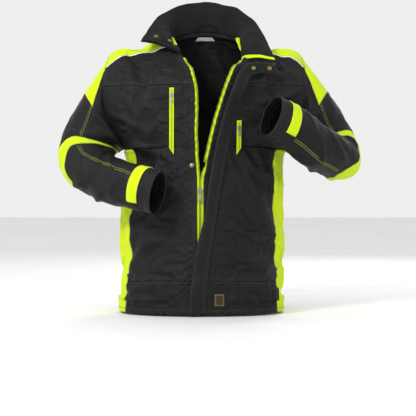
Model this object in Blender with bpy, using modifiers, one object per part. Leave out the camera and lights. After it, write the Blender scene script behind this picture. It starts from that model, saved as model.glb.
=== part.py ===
"""Two-tone work jacket, half unzipped and held in a worn shape, as separate sewn pieces.

Metres, +Z up, front towards -Y, the wearer's left at +X. Heights below are measured from the hem;
the finished model hangs from its loop, so the loop's top is the world origin.
"""

import math

import bpy
import numpy as np
from mathutils import Matrix, Vector

# Cloth
SHELL = 0.0016
TRIM = 0.0008
SEAM_ANGLE = 0.35
SEAM_HEIGHT = 0.0008
ROUNDNESS = 0.92

# Body surface: height along the side, then centre x, height of the side, front and back lines,
# half width, front depth and back depth.
BODY = (
    (0.000, -0.010, 0.000, 0.000, 0.000, 0.222, 0.1500, 0.140),
    (0.120, -0.008, 0.120, 0.120, 0.120, 0.218, 0.1481, 0.137),
    (0.240, -0.006, 0.240, 0.240, 0.240, 0.212, 0.1463, 0.131),
    (0.340, -0.003, 0.340, 0.340, 0.340, 0.212, 0.1447, 0.128),
    (0.434, 0.000, 0.434, 0.434, 0.434, 0.216, 0.1350, 0.128),
    (0.490, 0.000, 0.490, 0.490, 0.490, 0.262, 0.1290, 0.128),
    (0.545, 0.000, 0.545, 0.545, 0.545, 0.300, 0.1230, 0.126),
    (0.600, 0.000, 0.600, 0.598, 0.602, 0.297, 0.1170, 0.122),
    (0.650, 0.000, 0.650, 0.640, 0.655, 0.280, 0.1040, 0.114),
    (0.692, 0.000, 0.690, 0.655, 0.700, 0.255, 0.0920, 0.102),
    (0.790, 0.000, 0.714, 0.672, 0.732, 0.165, 0.0860, 0.085),
    (0.880, 0.000, 0.735, 0.640, 0.755, 0.085, 0.1000, 0.065),
)
HEM_TOP = 0.086
ARMPIT = 0.434
YOKE_SEAM = 0.597
NECK = 0.880
NECK_GAP = 0.016
BACK_ANGLE = 360.0

# Armhole: an oval on the body, centred on each side line.
ARMHOLE_HEIGHT = 0.563
ARMHOLE_HALF = 0.129
ARMHOLE_FRONT = 28.0
ARMHOLE_BACK = 24.0
ARMHOLE_MARGIN = 1.3
SHOULDER_SEAM = 48.0
SHOULDER_SEAM_BACK = 42.0
SHOULDER_FRONT = ((0.649, 69.2), (0.680, 60.0), (0.710, 54.5), (0.770, 51.5), (0.880, 58.0))
SHOULDER_BACK = ((0.659, 106.1), (0.770, 110.0), (0.880, 112.0))

# Side panel: its front seam's angle at each height, and its back seam's.
SIDE_FRONT = ((0.000, 64.0), (0.120, 64.5), (0.240, 62.5), (0.340, 60.0), (0.434, 56.0))
SIDE_BACK = 106.0

# Heights of the rows of faces that all body pieces share, so that layers lie evenly on each other.
ARMHOLE_TURNS = (172.0, 158.0, 142.0, 124.0, 106.0, 90.0)
ROW_HEIGHTS = (
    *(0.043, 0.086, 0.130, 0.175, 0.220, 0.265, 0.310, 0.355, 0.400),
    *(ARMHOLE_HEIGHT + ARMHOLE_HALF * math.cos(math.radians(turn)) for turn in ARMHOLE_TURNS),
    *(0.597, 0.622, 0.649, 0.675, 0.710, 0.745, 0.790, 0.825, 0.855),
)

# Front edges: x of each front panel's edge at each height.
CHAIN_X = -0.012
EDGE_HALF = 0.008
SLIDER_HEIGHT = 0.317
CHAIN_END = 0.330
RIGHT_EDGE = (
    (0.000, CHAIN_X - EDGE_HALF),
    (CHAIN_END, CHAIN_X - EDGE_HALF),
    (CHAIN_END + 0.008, CHAIN_X - EDGE_HALF),
    (0.400, -0.024),
    (0.460, -0.027),
    (0.600, -0.030),
    (0.640, -0.038),
    (0.692, -0.052),
    (0.790, -0.062),
    (0.880, -0.066),
)
LEFT_EDGE = (
    (0.000, CHAIN_X + EDGE_HALF),
    (CHAIN_END, CHAIN_X + EDGE_HALF),
    (CHAIN_END + 0.008, CHAIN_X + EDGE_HALF),
    (0.390, 0.005),
    (0.460, 0.020),
    (0.545, 0.040),
    (0.600, 0.054),
    (0.650, 0.066),
    (0.692, 0.072),
    (0.790, 0.074),
    (0.880, 0.074),
)
# How far the left front's edge is pulled away from the body at each height, and the angle by
# which the pull has died out.
PULL = (
    (0.000, 0.000, 0.000, 0.000),
    (CHAIN_END, 0.000, 0.000, 0.000),
    (CHAIN_END + 0.008, 0.000, 0.000, 0.000),
    (0.400, 0.000, -0.015, 0.000),
    (0.460, 0.000, -0.028, 0.000),
    (0.545, 0.004, -0.044, 0.000),
    (0.600, 0.008, -0.052, 0.000),
    (0.640, 0.012, -0.050, 0.000),
    (0.692, 0.020, -0.040, -0.006),
    (0.790, 0.026, -0.030, -0.018),
    (0.880, 0.030, -0.022, -0.036),
)
PULL_END = 75.0

# Sleeve sections: centre (outward x, y, z), the way the section faces, the way of its wide axis,
# half its size along that axis and half its size across it.
UPWARD = (0.0, 0.0, 1.0)
RIGHT_ARM = (
    ((0.275, -0.002, 0.505), (0.81, 0.00, -0.59), (0.59, 0.00, 0.81), 0.090, 0.080),
    ((0.310, -0.008, 0.448), (0.25, -0.15, -0.95), (0.96, 0.00, 0.29), 0.078, 0.072),
    ((0.312, -0.037, 0.393), (-0.31, -0.45, -0.83), (0.76, 0.40, -0.51), 0.076, 0.068),
    ((0.262, -0.100, 0.355), (-0.75, -0.60, -0.25), UPWARD, 0.062, 0.054),
    ((0.195, -0.154, 0.332), (-0.77, -0.59, -0.22), UPWARD, 0.058, 0.044),
    ((0.118, -0.204, 0.3125), (-0.80, -0.56, -0.22), UPWARD, 0.056, 0.032),
)
LEFT_ARM = (
    ((0.280, 0.000, 0.510), (0.81, 0.00, -0.59), (0.59, 0.00, 0.81), 0.092, 0.076),
    ((0.322, 0.006, 0.462), (0.33, -0.10, -0.94), (0.94, 0.00, 0.34), 0.078, 0.056),
    ((0.350, -0.040, 0.410), (-0.29, -0.78, -0.55), (0.56, 0.30, -0.78), 0.070, 0.062),
    ((0.288, -0.130, 0.432), (-0.62, -0.62, 0.42), UPWARD, 0.060, 0.052),
    ((0.230, -0.170, 0.472), (-0.65, -0.60, 0.40), UPWARD, 0.060, 0.046),
    ((0.166, -0.217, 0.505), (-0.70, -0.58, 0.40), UPWARD, 0.056, 0.034),
)
# Places along a sleeve are counted in these sections, from 0 at the armhole to 6 at the wrist.
SLEEVE_START = 0.026
HEAD_END = 0.95
CUFF_START = 5.65
CUFF_BAND = (5.30, 5.62)
CUFF_BAND_HALF = 125.0
SLEEVE_SEAM = ((0.0, 48.0), (0.5, 58.0), (1.0, 65.0), (6.0, 65.0))
SLEEVE_GAP_ANGLE = 2.2
SLEEVE_GAP = 0.015
# The elbow panel's edges at each angle from the elbow's tip round to its crook.
ELBOW_UPPER = ((0.0, 2.65), (40.0, 2.50), (100.0, 2.05), (140.0, 2.02), (180.0, 2.00))
ELBOW_LOWER = ((0.0, 3.50), (40.0, 3.35), (70.0, 2.95), (100.0, 2.50), (140.0, 2.35), (180.0, 2.26))

# Collar: the free edge, from the right end (0) round the back (0.5) to the left end (1).
COLLAR_EDGE = (
    (0.00, -0.170, -0.070, 0.728),
    (0.12, -0.150, -0.020, 0.765),
    (0.25, -0.115, 0.025, 0.805),
    (0.37, -0.068, 0.062, 0.836),
    (0.50, 0.000, 0.088, 0.846),
    (0.63, 0.068, 0.060, 0.832),
    (0.75, 0.115, 0.018, 0.800),
    (0.88, 0.158, -0.045, 0.740),
    (1.00, 0.182, -0.122, 0.670),
)
COLLAR_RISE = 0.052
COLLAR_LAYER = 0.0014

# Storm flap: x of its free edge and of its stitched edge at each height.
FLAP_FREE = (
    (0.000, -0.042),
    (0.160, -0.024),
    (0.246, -0.003),
    (0.320, 0.007),
    (0.447, 0.028),
    (0.540, 0.050),
)
FLAP_STITCHED = (
    (0.000, 0.005),
    (0.115, 0.010),
    (0.166, 0.018),
    (0.346, 0.045),
    (0.447, 0.064),
    (0.540, 0.090),
)
FLAP_THICKNESS = 0.0018
FLAP_LIFT = (0.0045, 0.0130)
# The flap's top end, folded out beside the collar: its edge at the zip and its outer edge.
FLAP_TOP_ZIP = (
    (0.0, 0.060, -0.1860, 0.548),
    (0.3, 0.082, -0.1800, 0.612),
    (0.6, 0.112, -0.1640, 0.646),
    (0.8, 0.142, -0.1500, 0.650),
    (1.0, 0.174, -0.1400, 0.646),
)
FLAP_TOP_OUTER = (
    (0.0, 0.092, -0.1740, 0.546),
    (0.3, 0.106, -0.1720, 0.584),
    (0.6, 0.128, -0.1600, 0.617),
    (0.8, 0.160, -0.1460, 0.620),
    (1.0, 0.200, -0.1360, 0.616),
)

# Zips
TAPE_UNDER = 0.010
TAPE_SHOWN = 0.0042
TEETH_WIDE = 0.0020
TAPE_LIFT = -0.0030
TEETH_LIFT = -0.0021
TEETH_THICK = 0.0025
ZIP_BOTTOM = 0.022
ZIP_TOP = 0.745
FACING_WIDE = 0.045
POCKET_ZIP_X = 0.086
POCKET_ZIP_LOW = 0.412
POCKET_ZIP_HIGH = {-1: 0.588, 1: 0.500}
POCKET_ZIP_WIDE = 0.012
POCKET_ZIP_RISE = 0.0034
POCKET_SLIDER_DROP = 0.020
POCKET_BAG_TOP = 0.585

# Hanger loop
LOOP_HALF = 0.030
LOOP_Y = 0.050
LOOP_FOOT = 0.760
LOOP_TOP = 0.782
LOOP_RADIUS = 0.0020

BLACK = (0.022, 0.022, 0.024)
YELLOW = (0.67, 0.82, 0.004)
SILVER = (0.70, 0.72, 0.72)
BRASS = (0.55, 0.40, 0.18)
NICKEL = (0.35, 0.35, 0.36)


# ---------------------------------------------------------------- smooth curves


def smooth(table, at):
    """The values of a table of rows (key, value, ...) at a key, on one smooth curve."""
    table = np.asarray(table, float)
    keys, rows = table[:, 0], table[:, 1:]
    slopes = np.gradient(rows, keys, axis=0)
    at = min(max(at, keys[0]), keys[-1])
    i = min(max(int(np.searchsorted(keys, at, side="right")) - 1, 0), len(keys) - 2)
    span = keys[i + 1] - keys[i]
    t = (at - keys[i]) / span
    start = rows[i] * (1 + 2 * t) * (1 - t) ** 2 + slopes[i] * span * t * (1 - t) ** 2
    end = rows[i + 1] * t * t * (3 - 2 * t) - slopes[i + 1] * span * t * t * (1 - t)
    return start + end


def mix(a, b, t):
    return a + (b - a) * t


def row_heights(low, high):
    """The shared row heights between two heights, with both ends."""
    inside = [h for h in ROW_HEIGHTS if low + 0.004 < h < high - 0.004]
    return [low, *inside, high]


def spread(low, high, count):
    """Count + 1 evenly spaced values."""
    return [mix(low, high, i / count) for i in range(count + 1)]


def signed_power(value, power):
    return math.copysign(abs(value) ** power, value)


def outward_normal(point, a, b, step_a, step_b):
    along = point(a + step_a, b) - point(a - step_a, b)
    up = point(a, b + step_b) - point(a, b - step_b)
    normal = np.cross(along, up)
    return normal / np.linalg.norm(normal)


# ---------------------------------------------------------------- body surface


def body_point(angle, height):
    """A point of the body: angle in degrees from the front centre towards +X."""
    centre, z_side, z_front, z_back, half, front, back = smooth(BODY, height)
    angle = (angle + 180.0) % 360.0 - 180.0
    s, c = math.sin(math.radians(angle)), math.cos(math.radians(angle))
    depth, z_middle = (front, z_front) if c > 0 else (back, z_back)
    x = centre + half * signed_power(s, ROUNDNESS)
    y = -depth * signed_power(c, ROUNDNESS)
    z = mix(z_side, z_middle, c * c)
    return np.array((x, y, z))


def edge_angle(x, height):
    """The angle at which the body's surface has this x, in front."""
    centre, _, _, _, half, _, _ = smooth(BODY, height)
    ratio = (x - centre) / half
    return math.degrees(math.asin(max(-1.0, min(1.0, signed_power(ratio, 1 / ROUNDNESS)))))


def front_edge(side, height):
    return smooth(LEFT_EDGE if side > 0 else RIGHT_EDGE, height)[0]


def left_point(angle, height):
    """The body's surface with the left front pulled away, as the open zip leaves it."""
    point = body_point(angle, height)
    angle = (angle + 180.0) % 360.0 - 180.0
    if -90.0 < angle < PULL_END:
        edge = edge_angle(front_edge(1, height), height)
        weight = min(max((PULL_END - angle) / (PULL_END - edge), 0.0), 1.0) ** 2
        point = point + weight * smooth(PULL, height)
    return point


def body_surface(side):
    """Returns a function giving the point and the outward normal at (angle, height)."""
    point = left_point if side > 0 else body_point

    def surface(angle, height):
        normal = outward_normal(point, angle, height, 0.5, 0.002)
        return point(angle, height), normal

    return surface


def whole_body(angle, height):
    """Both sides as one surface, for pieces that cross the back."""
    inner = (angle + 180.0) % 360.0 - 180.0
    return body_surface(1 if inner > 0 else -1)(inner, height)


def armhole_angle(height, back=False):
    """How far the armhole reaches from the side line at this height."""
    across = (height - ARMHOLE_HEIGHT) / ARMHOLE_HALF
    reach = ARMHOLE_BACK if back else ARMHOLE_FRONT
    return reach * math.sqrt(max(0.0, 1.0 - across * across))


def armhole_height(angle):
    """The armhole's upper edge at an angle from the front centre."""
    reach = ARMHOLE_FRONT if angle < 90.0 else ARMHOLE_BACK
    across = (angle - 90.0) / reach
    return ARMHOLE_HEIGHT + ARMHOLE_HALF * math.sqrt(max(0.0, 1.0 - across * across))


def shoulder_seam_start(back=False):
    """Angle and height where the shoulder seam meets the armhole."""
    turn = math.radians(SHOULDER_SEAM_BACK if back else SHOULDER_SEAM)
    reach = ARMHOLE_BACK if back else -ARMHOLE_FRONT
    return 90.0 + reach * math.sin(turn), ARMHOLE_HEIGHT + ARMHOLE_HALF * math.cos(turn)


def shoulder_seam_angle(height, back=False):
    return smooth(SHOULDER_BACK if back else SHOULDER_FRONT, height)[0]


def front_outer_angle(height):
    """A front panel's outer boundary: the side seam, the armhole, then the shoulder seam."""
    if height < ARMPIT - 0.001:
        return smooth(SIDE_FRONT, height)[0]
    if height < shoulder_seam_start()[1]:
        return 90.0 - armhole_angle(height) - ARMHOLE_MARGIN
    return shoulder_seam_angle(height)


def back_outer_angle(height):
    if height < ARMPIT - 0.001:
        return SIDE_BACK
    if height < shoulder_seam_start(back=True)[1]:
        return 90.0 + armhole_angle(height, back=True) + ARMHOLE_MARGIN
    return shoulder_seam_angle(height, back=True)


# ---------------------------------------------------------------- sleeve surface


def armhole_point(side, turn):
    """The armhole's rim: turn 0 at the shoulder, 90 in front, 180 in the armpit."""
    radians = math.radians(turn)
    reach = ARMHOLE_FRONT if math.sin(radians) > 0 else ARMHOLE_BACK
    angle = 90.0 - reach * math.sin(radians)
    point = left_point if side > 0 else body_point
    return point(side * angle, ARMHOLE_HEIGHT + ARMHOLE_HALF * math.cos(radians))


def unit(vector):
    return vector / np.linalg.norm(vector)


def sleeve_sections(side):
    """The centres from the armhole on, and each section's turn directions and half axes."""
    arm = LEFT_ARM if side > 0 else RIGHT_ARM
    mirrored = (side, 1, 1)
    start = np.mean([armhole_point(side, turn) for turn in range(0, 360, 30)], axis=0)
    centres = [start] + [np.array(section[0]) * mirrored for section in arm]
    outer = unit(np.array((side * 1.0, 0.0, 0.5)))
    sections = []
    for centre, (_, faces, axis, wide, narrow) in zip(centres[1:], arm):
        along = unit(np.array(faces) * mirrored)
        outer = unit(outer - along * np.dot(outer, along))
        front = unit(np.cross(along, outer)) * side
        wide_axis = np.array(axis) * mirrored
        wide_axis = unit(wide_axis - along * np.dot(wide_axis, along))
        narrow_axis = np.cross(along, wide_axis)
        sections.append((centre, outer, front, wide_axis * wide, narrow_axis * narrow))
    return centres, sections


def sleeve_surface(side):
    """Returns a function giving the point and the outward normal at (turn, section)."""
    centres, sections = sleeve_sections(side)
    centre_table = [(i, *centre) for i, centre in enumerate(centres)]

    def point(turn, at):
        radians = math.radians(turn)
        table = [(0, *armhole_point(side, turn))]
        for i, (centre, outer, front, wide, narrow) in enumerate(sections, start=1):
            ray = outer * math.cos(radians) + front * math.sin(radians)
            offset = wide * np.dot(unit(wide), ray) + narrow * np.dot(unit(narrow), ray)
            table.append((i, *(centre + offset)))
        return smooth(table, at)

    def surface(turn, at):
        here = point(turn, at)
        normal = outward_normal(point, turn, min(max(at, 0.02), 5.98), 1.0, 0.02)
        if np.dot(normal, here - smooth(centre_table, at)) < 0:
            normal = -normal
        return here, normal

    return surface


def elbow_turn(side):
    """The turn at which the elbow's tip lies."""
    _, sections = sleeve_sections(side)
    _, outer, front, tip, _ = sections[2]
    return math.degrees(math.atan2(np.dot(tip, front), np.dot(tip, outer)))


def uppermost_turn(surface, at):
    return max(range(-180, 180, 5), key=lambda turn: surface(turn, at)[0][2])


# ---------------------------------------------------------------- collar surface


def collar_point(across, rise):
    """The collar: across from the right end to the left end, rise from the neck seam outwards."""
    right = -edge_angle(front_edge(-1, NECK), NECK)
    left = edge_angle(front_edge(1, NECK), NECK)
    angle = -right - across * (BACK_ANGLE - right - left)
    inner = (angle + 180.0) % 360.0 - 180.0
    base = left_point(inner, NECK) if inner > 0 else body_point(inner, NECK)
    edge = smooth(COLLAR_EDGE, across)
    bend = base + (0.0, 0.0, COLLAR_RISE)
    return base * (1 - rise) ** 2 + bend * 2 * rise * (1 - rise) + edge * rise**2


def collar_surface(across, rise):
    normal = -outward_normal(collar_point, across, rise, 0.01, 0.02)
    return collar_point(across, rise), normal


# ---------------------------------------------------------------- building


def clear_scene():
    for obj in list(bpy.data.objects):
        bpy.data.objects.remove(obj, do_unlink=True)


def new_collection(name):
    collection = bpy.data.collections.new(name)
    bpy.context.scene.collection.children.link(collection)
    return collection


def new_material(name, colour, roughness, metallic=0.0):
    material = bpy.data.materials.new(name)
    material.use_nodes = True
    shader = material.node_tree.nodes["Principled BSDF"]
    shader.inputs["Base Color"].default_value = (*colour, 1.0)
    shader.inputs["Roughness"].default_value = roughness
    shader.inputs["Metallic"].default_value = metallic
    return material


clear_scene()
PIECES = new_collection("work_jacket")
CUTTERS = new_collection("cutters")
JACKET = bpy.data.objects.new("jacket", None)
PIECES.objects.link(JACKET)
JACKET.location = (0.0, -LOOP_Y, -LOOP_TOP)

TWILL = new_material("black_twill", BLACK, 0.85)
HIVIS = new_material("yellow_twill", YELLOW, 0.80)
PIPING = new_material("reflective_tape", SILVER, 0.40)
METAL = new_material("antique_brass", BRASS, 0.35, 1.0)
DARK_METAL = new_material("dark_nickel", NICKEL, 0.40, 1.0)
TAPE = new_material("yellow_zip_tape", YELLOW, 0.75)
TEETH = new_material("black_zip_teeth", BLACK, 0.40)
LABEL = new_material("woven_label", (0.55, 0.55, 0.52), 0.80)


def add_piece(name, mesh, material, parent=JACKET):
    mesh.materials.append(material)
    obj = bpy.data.objects.new(name, mesh)
    PIECES.objects.link(obj)
    obj.parent = parent
    return obj


def grid_mesh(name, points, columns, rows, ring, outward):
    """A grid of four-sided faces whose normals agree with the outward direction given."""
    steps = columns if ring else columns - 1
    faces = []
    for row in range(rows - 1):
        for column in range(steps):
            right = (column + 1) % columns
            low, high = row * columns, (row + 1) * columns
            faces.append((low + column, low + right, high + right, high + column))
    middle = faces[len(faces) // 2]
    a, b, c, d = (np.array(points[i]) for i in middle)
    if np.dot(np.cross(c - a, d - b), outward[middle[0]]) < 0:
        faces = [face[::-1] for face in faces]
    mesh = bpy.data.meshes.new(name)
    mesh.from_pydata(points, [], faces)
    mesh.shade_smooth()
    return mesh


def sheet(name, surface, chart, columns, rows, material, lift=0.0, thickness=SHELL, ring=False):
    """A sewn piece: chart(u, v) gives its place on a surface, lift how far it lies off it."""
    points, normals = [], []
    for v in rows:
        for u in columns:
            point, normal = surface(*chart(u, v))
            away = lift(u, v) if callable(lift) else lift
            points.append(tuple(point + normal * away))
            normals.append(normal)
    mesh = grid_mesh(name, points, len(columns), len(rows), ring, normals)
    obj = add_piece(name, mesh, material)
    solid = obj.modifiers.new("cloth", "SOLIDIFY")
    solid.thickness = thickness
    solid.offset = -1.0
    return obj


def band_chart(side, inner, outer, gap=SEAM_ANGLE):
    """A chart between two angles that are functions of height."""

    def chart(u, height):
        return side * mix(inner(height) + gap, outer(height) - gap, u), height

    return chart


def edge_strip_chart(side, low, high):
    """A chart along a front edge, between two distances from it, positive towards the opening."""

    def chart(u, height):
        x = front_edge(side, height) - side * mix(low, high, u)
        return edge_angle(x, height), height

    return chart


def build_back():
    rows = row_heights(HEM_TOP + SEAM_HEIGHT, ARMPIT - 0.002)
    rows += row_heights(ARMPIT + 0.0014, NECK - NECK_GAP)

    def chart(u, height):
        outer = back_outer_angle(height) + SEAM_ANGLE
        return mix(outer, BACK_ANGLE - outer, u), height

    sheet("back_panel", whole_body, chart, spread(0, 1, 16), rows, TWILL)
    low = row_heights(0.0, HEM_TOP - SEAM_HEIGHT)
    sheet("back_hem_band", whole_body, chart, spread(0, 1, 16), low, TWILL)


def build_front(side, word):
    surface = body_surface(side)

    def inner(height):
        return side * edge_angle(front_edge(side, height), height)

    chart = band_chart(side, inner, front_outer_angle)
    columns = spread(0, 1, 8)
    low = row_heights(0.0, HEM_TOP - SEAM_HEIGHT)
    sheet(f"front_hem_band_{word}", surface, chart, columns, low, TWILL)
    rows = row_heights(HEM_TOP + SEAM_HEIGHT, ARMPIT - 0.002)
    rows += row_heights(ARMPIT + 0.0014, YOKE_SEAM - SEAM_HEIGHT)
    sheet(f"front_panel_{word}", surface, chart, columns, rows, TWILL)
    rows = row_heights(YOKE_SEAM + SEAM_HEIGHT, NECK - NECK_GAP)
    sheet(f"chest_yoke_{word}", surface, chart, columns, rows, TWILL)


def build_side(side, word):
    def inner(height):
        return smooth(SIDE_FRONT, height)[0]

    chart = band_chart(side, inner, lambda height: SIDE_BACK)
    rows = row_heights(0.0, ARMPIT - 0.004)
    columns = spread(0, 1, 5)
    sheet(f"side_panel_{word}", body_surface(side), chart, columns, rows, HIVIS)


def build_shoulder(side, word):
    front_start = shoulder_seam_start()[0]
    back_start = shoulder_seam_start(back=True)[0]
    top = NECK - NECK_GAP

    def seam_shift(start, v, back):
        """How far a seam lies from the straight line between its two ends."""
        low = armhole_height(start)
        straight = mix(start, shoulder_seam_angle(top, back), v)
        return shoulder_seam_angle(mix(low, top, v), back) - straight

    def chart(u, v):
        u_gap = mix(0.02, 0.98, u)
        start = mix(front_start, back_start, u_gap)
        end = mix(shoulder_seam_angle(top), shoulder_seam_angle(top, back=True), u_gap)
        angle = mix(start, end, v) + (1 - u) * seam_shift(front_start, v, False)
        angle += u * seam_shift(back_start, v, True)
        low = armhole_height(start) + 2 * SEAM_HEIGHT
        return side * angle, mix(low, top, v)

    surface = body_surface(side)
    sheet(f"shoulder_panel_{word}", surface, chart, spread(0, 1, 5), spread(0, 1, 6), HIVIS)

    def piping_chart(u, v):
        height = mix(shoulder_seam_start()[1] + 0.004, NECK - 0.050, v)
        return side * (shoulder_seam_angle(height) + mix(-2.2, -0.6, u)), height

    columns, rows = (0.0, 0.5, 1.0), spread(0, 1, 8)
    name = f"shoulder_piping_{word}"
    sheet(name, surface, piping_chart, columns, rows, PIPING, lift=0.0022, thickness=TRIM)


def build_facings():
    for side, word in ((-1, "right"), (1, "left")):
        chart = edge_strip_chart(side, -0.003, -FACING_WIDE)
        rows = row_heights(0.010, ZIP_TOP)
        name = f"front_facing_{word}"
        surface = body_surface(side)
        sheet(name, surface, chart, spread(0, 1, 4), rows, TWILL, lift=-0.0048, thickness=0.0010)

    def chart(u, height):
        return mix(108.0, BACK_ANGLE - 108.0, u), height

    rows = spread(0.810, 0.874, 2)
    name = "back_neck_facing"
    sheet(name, whole_body, chart, spread(0, 1, 12), rows, TWILL, lift=-0.0034, thickness=0.0010)


def build_sleeve(side, word):
    surface = sleeve_surface(side)

    def seam(at):
        return smooth(SLEEVE_SEAM, at)[0]

    tip = elbow_turn(side)

    def upper(turn):
        return smooth(ELBOW_UPPER, abs((turn - tip + 180.0) % 360.0 - 180.0))[0]

    def lower(turn):
        return smooth(ELBOW_LOWER, abs((turn - tip + 180.0) % 360.0 - 180.0))[0]

    def head_chart(u, v):
        at = mix(SLEEVE_START, HEAD_END - SLEEVE_GAP, v)
        edge = seam(at) - SLEEVE_GAP_ANGLE
        return mix(-edge, edge, u), at

    sheet(f"sleeve_head_{word}", surface, head_chart, spread(0, 1, 8), spread(0, 1, 5), HIVIS)

    def outer_chart(u, v):
        edge = seam(HEAD_END) - SLEEVE_GAP_ANGLE
        turn = mix(-edge, edge, u)
        return turn, mix(HEAD_END + SLEEVE_GAP, upper(turn) - SLEEVE_GAP, v)

    sheet(f"outer_sleeve_{word}", surface, outer_chart, spread(0, 1, 8), spread(0, 1, 5), TWILL)

    def inner_chart(u, v):
        edge = seam(2.0)
        end = upper(mix(edge, 360.0 - edge, u)) - SLEEVE_GAP
        at = mix(SLEEVE_START, end, v)
        edge = seam(at) + SLEEVE_GAP_ANGLE
        return mix(edge, 360.0 - edge, u), at

    sheet(f"inner_sleeve_{word}", surface, inner_chart, spread(0, 1, 12), spread(0, 1, 8), TWILL)

    turns = [i * 18.0 for i in range(20)]

    def elbow_chart(turn, v):
        return turn, mix(upper(turn) + SLEEVE_GAP, lower(turn) - SLEEVE_GAP, v)

    sheet(f"elbow_panel_{word}", surface, elbow_chart, turns, spread(0, 1, 3), HIVIS, ring=True)

    def forearm_chart(turn, v):
        return turn, mix(lower(turn) + SLEEVE_GAP, CUFF_START - SLEEVE_GAP, v)

    sheet(f"forearm_{word}", surface, forearm_chart, turns, spread(0, 1, 9), TWILL, ring=True)

    def cuff_chart(turn, v):
        return turn, mix(CUFF_START + SLEEVE_GAP, 6.0, v)

    sheet(f"cuff_{word}", surface, cuff_chart, turns, spread(0, 1, 2), TWILL, ring=True)
    top = uppermost_turn(surface, CUFF_BAND[0])

    def band(u, v):
        return top + mix(-CUFF_BAND_HALF, CUFF_BAND_HALF, u), mix(*CUFF_BAND, v)

    name = f"cuff_band_{word}"
    columns, rows = spread(0, 1, 14), spread(0, 1, 2)
    sheet(name, surface, band, columns, rows, HIVIS, lift=0.0028, thickness=TRIM)


def build_collar():
    columns = spread(0, 1, 26)

    def chart(u, v):
        return u, v

    sheet("collar", collar_surface, chart, columns, spread(0.08, 1.0, 4), TWILL, thickness=COLLAR_LAYER)
    columns = spread(0.01, 0.99, 26)
    rows = spread(0.10, 0.98, 4)
    name = "collar_facing"
    sheet(name, collar_surface, chart, columns, rows, TWILL, lift=-0.0030, thickness=COLLAR_LAYER)


def build_loop_and_label():
    curve = bpy.data.curves.new("hanger_loop", "CURVE")
    curve.dimensions = "3D"
    curve.bevel_depth = LOOP_RADIUS
    curve.bevel_resolution = 2
    curve.use_fill_caps = True
    spline = curve.splines.new("POLY")
    turns = spread(0.0, math.pi, 12)
    spline.points.add(len(turns) - 1)
    for point, turn in zip(spline.points, turns):
        x = -LOOP_HALF * math.cos(turn)
        z = mix(LOOP_FOOT, LOOP_TOP, math.sin(turn) ** 0.8)
        point.co = (x, LOOP_Y, z, 1.0)
    loop = bpy.data.objects.new("hanger_loop", curve)
    curve.materials.append(TWILL)
    PIECES.objects.link(loop)
    loop.parent = JACKET

    def chart(u, height):
        return mix(170.0, 190.0, u), height

    rows = spread(0.825, 0.858, 2)
    name = "size_label"
    sheet(name, whole_body, chart, spread(0, 1, 4), rows, LABEL, lift=-0.0052, thickness=0.0006)


# ---------------------------------------------------------------- closing


def build_flap():
    surface = body_surface(1)

    def chart(u, height):
        x = mix(smooth(FLAP_STITCHED, height)[0], smooth(FLAP_FREE, height)[0], u)
        return edge_angle(x, height), height

    def lift(u, height):
        return mix(*FLAP_LIFT, u)

    rows = row_heights(0.003, 0.540)
    columns = spread(0, 1, 4)
    sheet("storm_flap", surface, chart, columns, rows, TWILL, lift=lift, thickness=FLAP_THICKNESS)

    def top_point(u, v):
        return mix(smooth(FLAP_TOP_OUTER, v), smooth(FLAP_TOP_ZIP, v), u)

    def top_surface(u, v):
        return top_point(u, v), -outward_normal(top_point, u, v, 0.02, 0.02)

    rows = spread(0.0, 1.0, 8)
    name = "storm_flap_top"
    sheet(name, top_surface, lambda u, v: (u, v), (0, 0.5, 1), rows, TWILL, thickness=FLAP_THICKNESS)


def build_zip_sides():
    for side, word in ((-1, "right"), (1, "left")):
        surface = body_surface(side)
        rows = row_heights(ZIP_BOTTOM, ZIP_TOP)
        chart = edge_strip_chart(side, -TAPE_UNDER, TAPE_SHOWN)
        columns = (0.0, 0.5, 1.0)
        name = f"zip_tape_{word}"
        sheet(name, surface, chart, columns, rows, TAPE, lift=TAPE_LIFT, thickness=0.0007)
        teeth_start = TAPE_SHOWN + 0.0005
        chart = edge_strip_chart(side, teeth_start, teeth_start + TEETH_WIDE)
        name = f"zip_teeth_{word}"
        sheet(name, surface, chart, (0.0, 1.0), rows, TEETH, lift=TEETH_LIFT, thickness=TEETH_THICK)


def box_mesh(name, low, high):
    """A box from its lowest to its highest corner."""
    size = Vector(high) - Vector(low)
    bpy.ops.mesh.primitive_cube_add(size=1.0)
    obj = bpy.context.object
    obj.name = name
    obj.data.transform(Matrix.Diagonal((*size, 1.0)))
    obj.data.transform(Matrix.Translation((Vector(low) + Vector(high)) / 2))
    return obj


def move_to(obj, collection):
    for old in list(obj.users_collection):
        old.objects.unlink(obj)
    collection.objects.link(obj)


def joined_boxes(name, boxes, material, parent):
    """One solid from boxes that overlap each other, by Boolean union."""
    body = box_mesh(name, *boxes[0])
    move_to(body, PIECES)
    body.data.materials.append(material)
    body.parent = parent
    for i, corners in enumerate(boxes[1:], start=1):
        tool = box_mesh(f"{name}_join_{i}", *corners)
        move_to(tool, CUTTERS)
        tool.parent = parent
        tool.hide_render = True
        tool.display_type = "WIRE"
        union = body.modifiers.new(f"join_{i}", "BOOLEAN")
        union.operation = "UNION"
        union.object = tool
    return body


def zip_frame(name, low, high, outward, at):
    """An empty on a straight zip: local Z up the zip, local -Y away from the body."""
    along = Vector(high) - Vector(low)
    along.normalize()
    away = Vector(outward) - along * along.dot(Vector(outward))
    away.normalize()
    across = (-away).cross(along)
    frame = Matrix((across, -away, along)).transposed().to_4x4()
    frame.translation = at
    empty = bpy.data.objects.new(name, None)
    PIECES.objects.link(empty)
    empty.parent = JACKET
    empty.matrix_local = frame
    return empty


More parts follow.
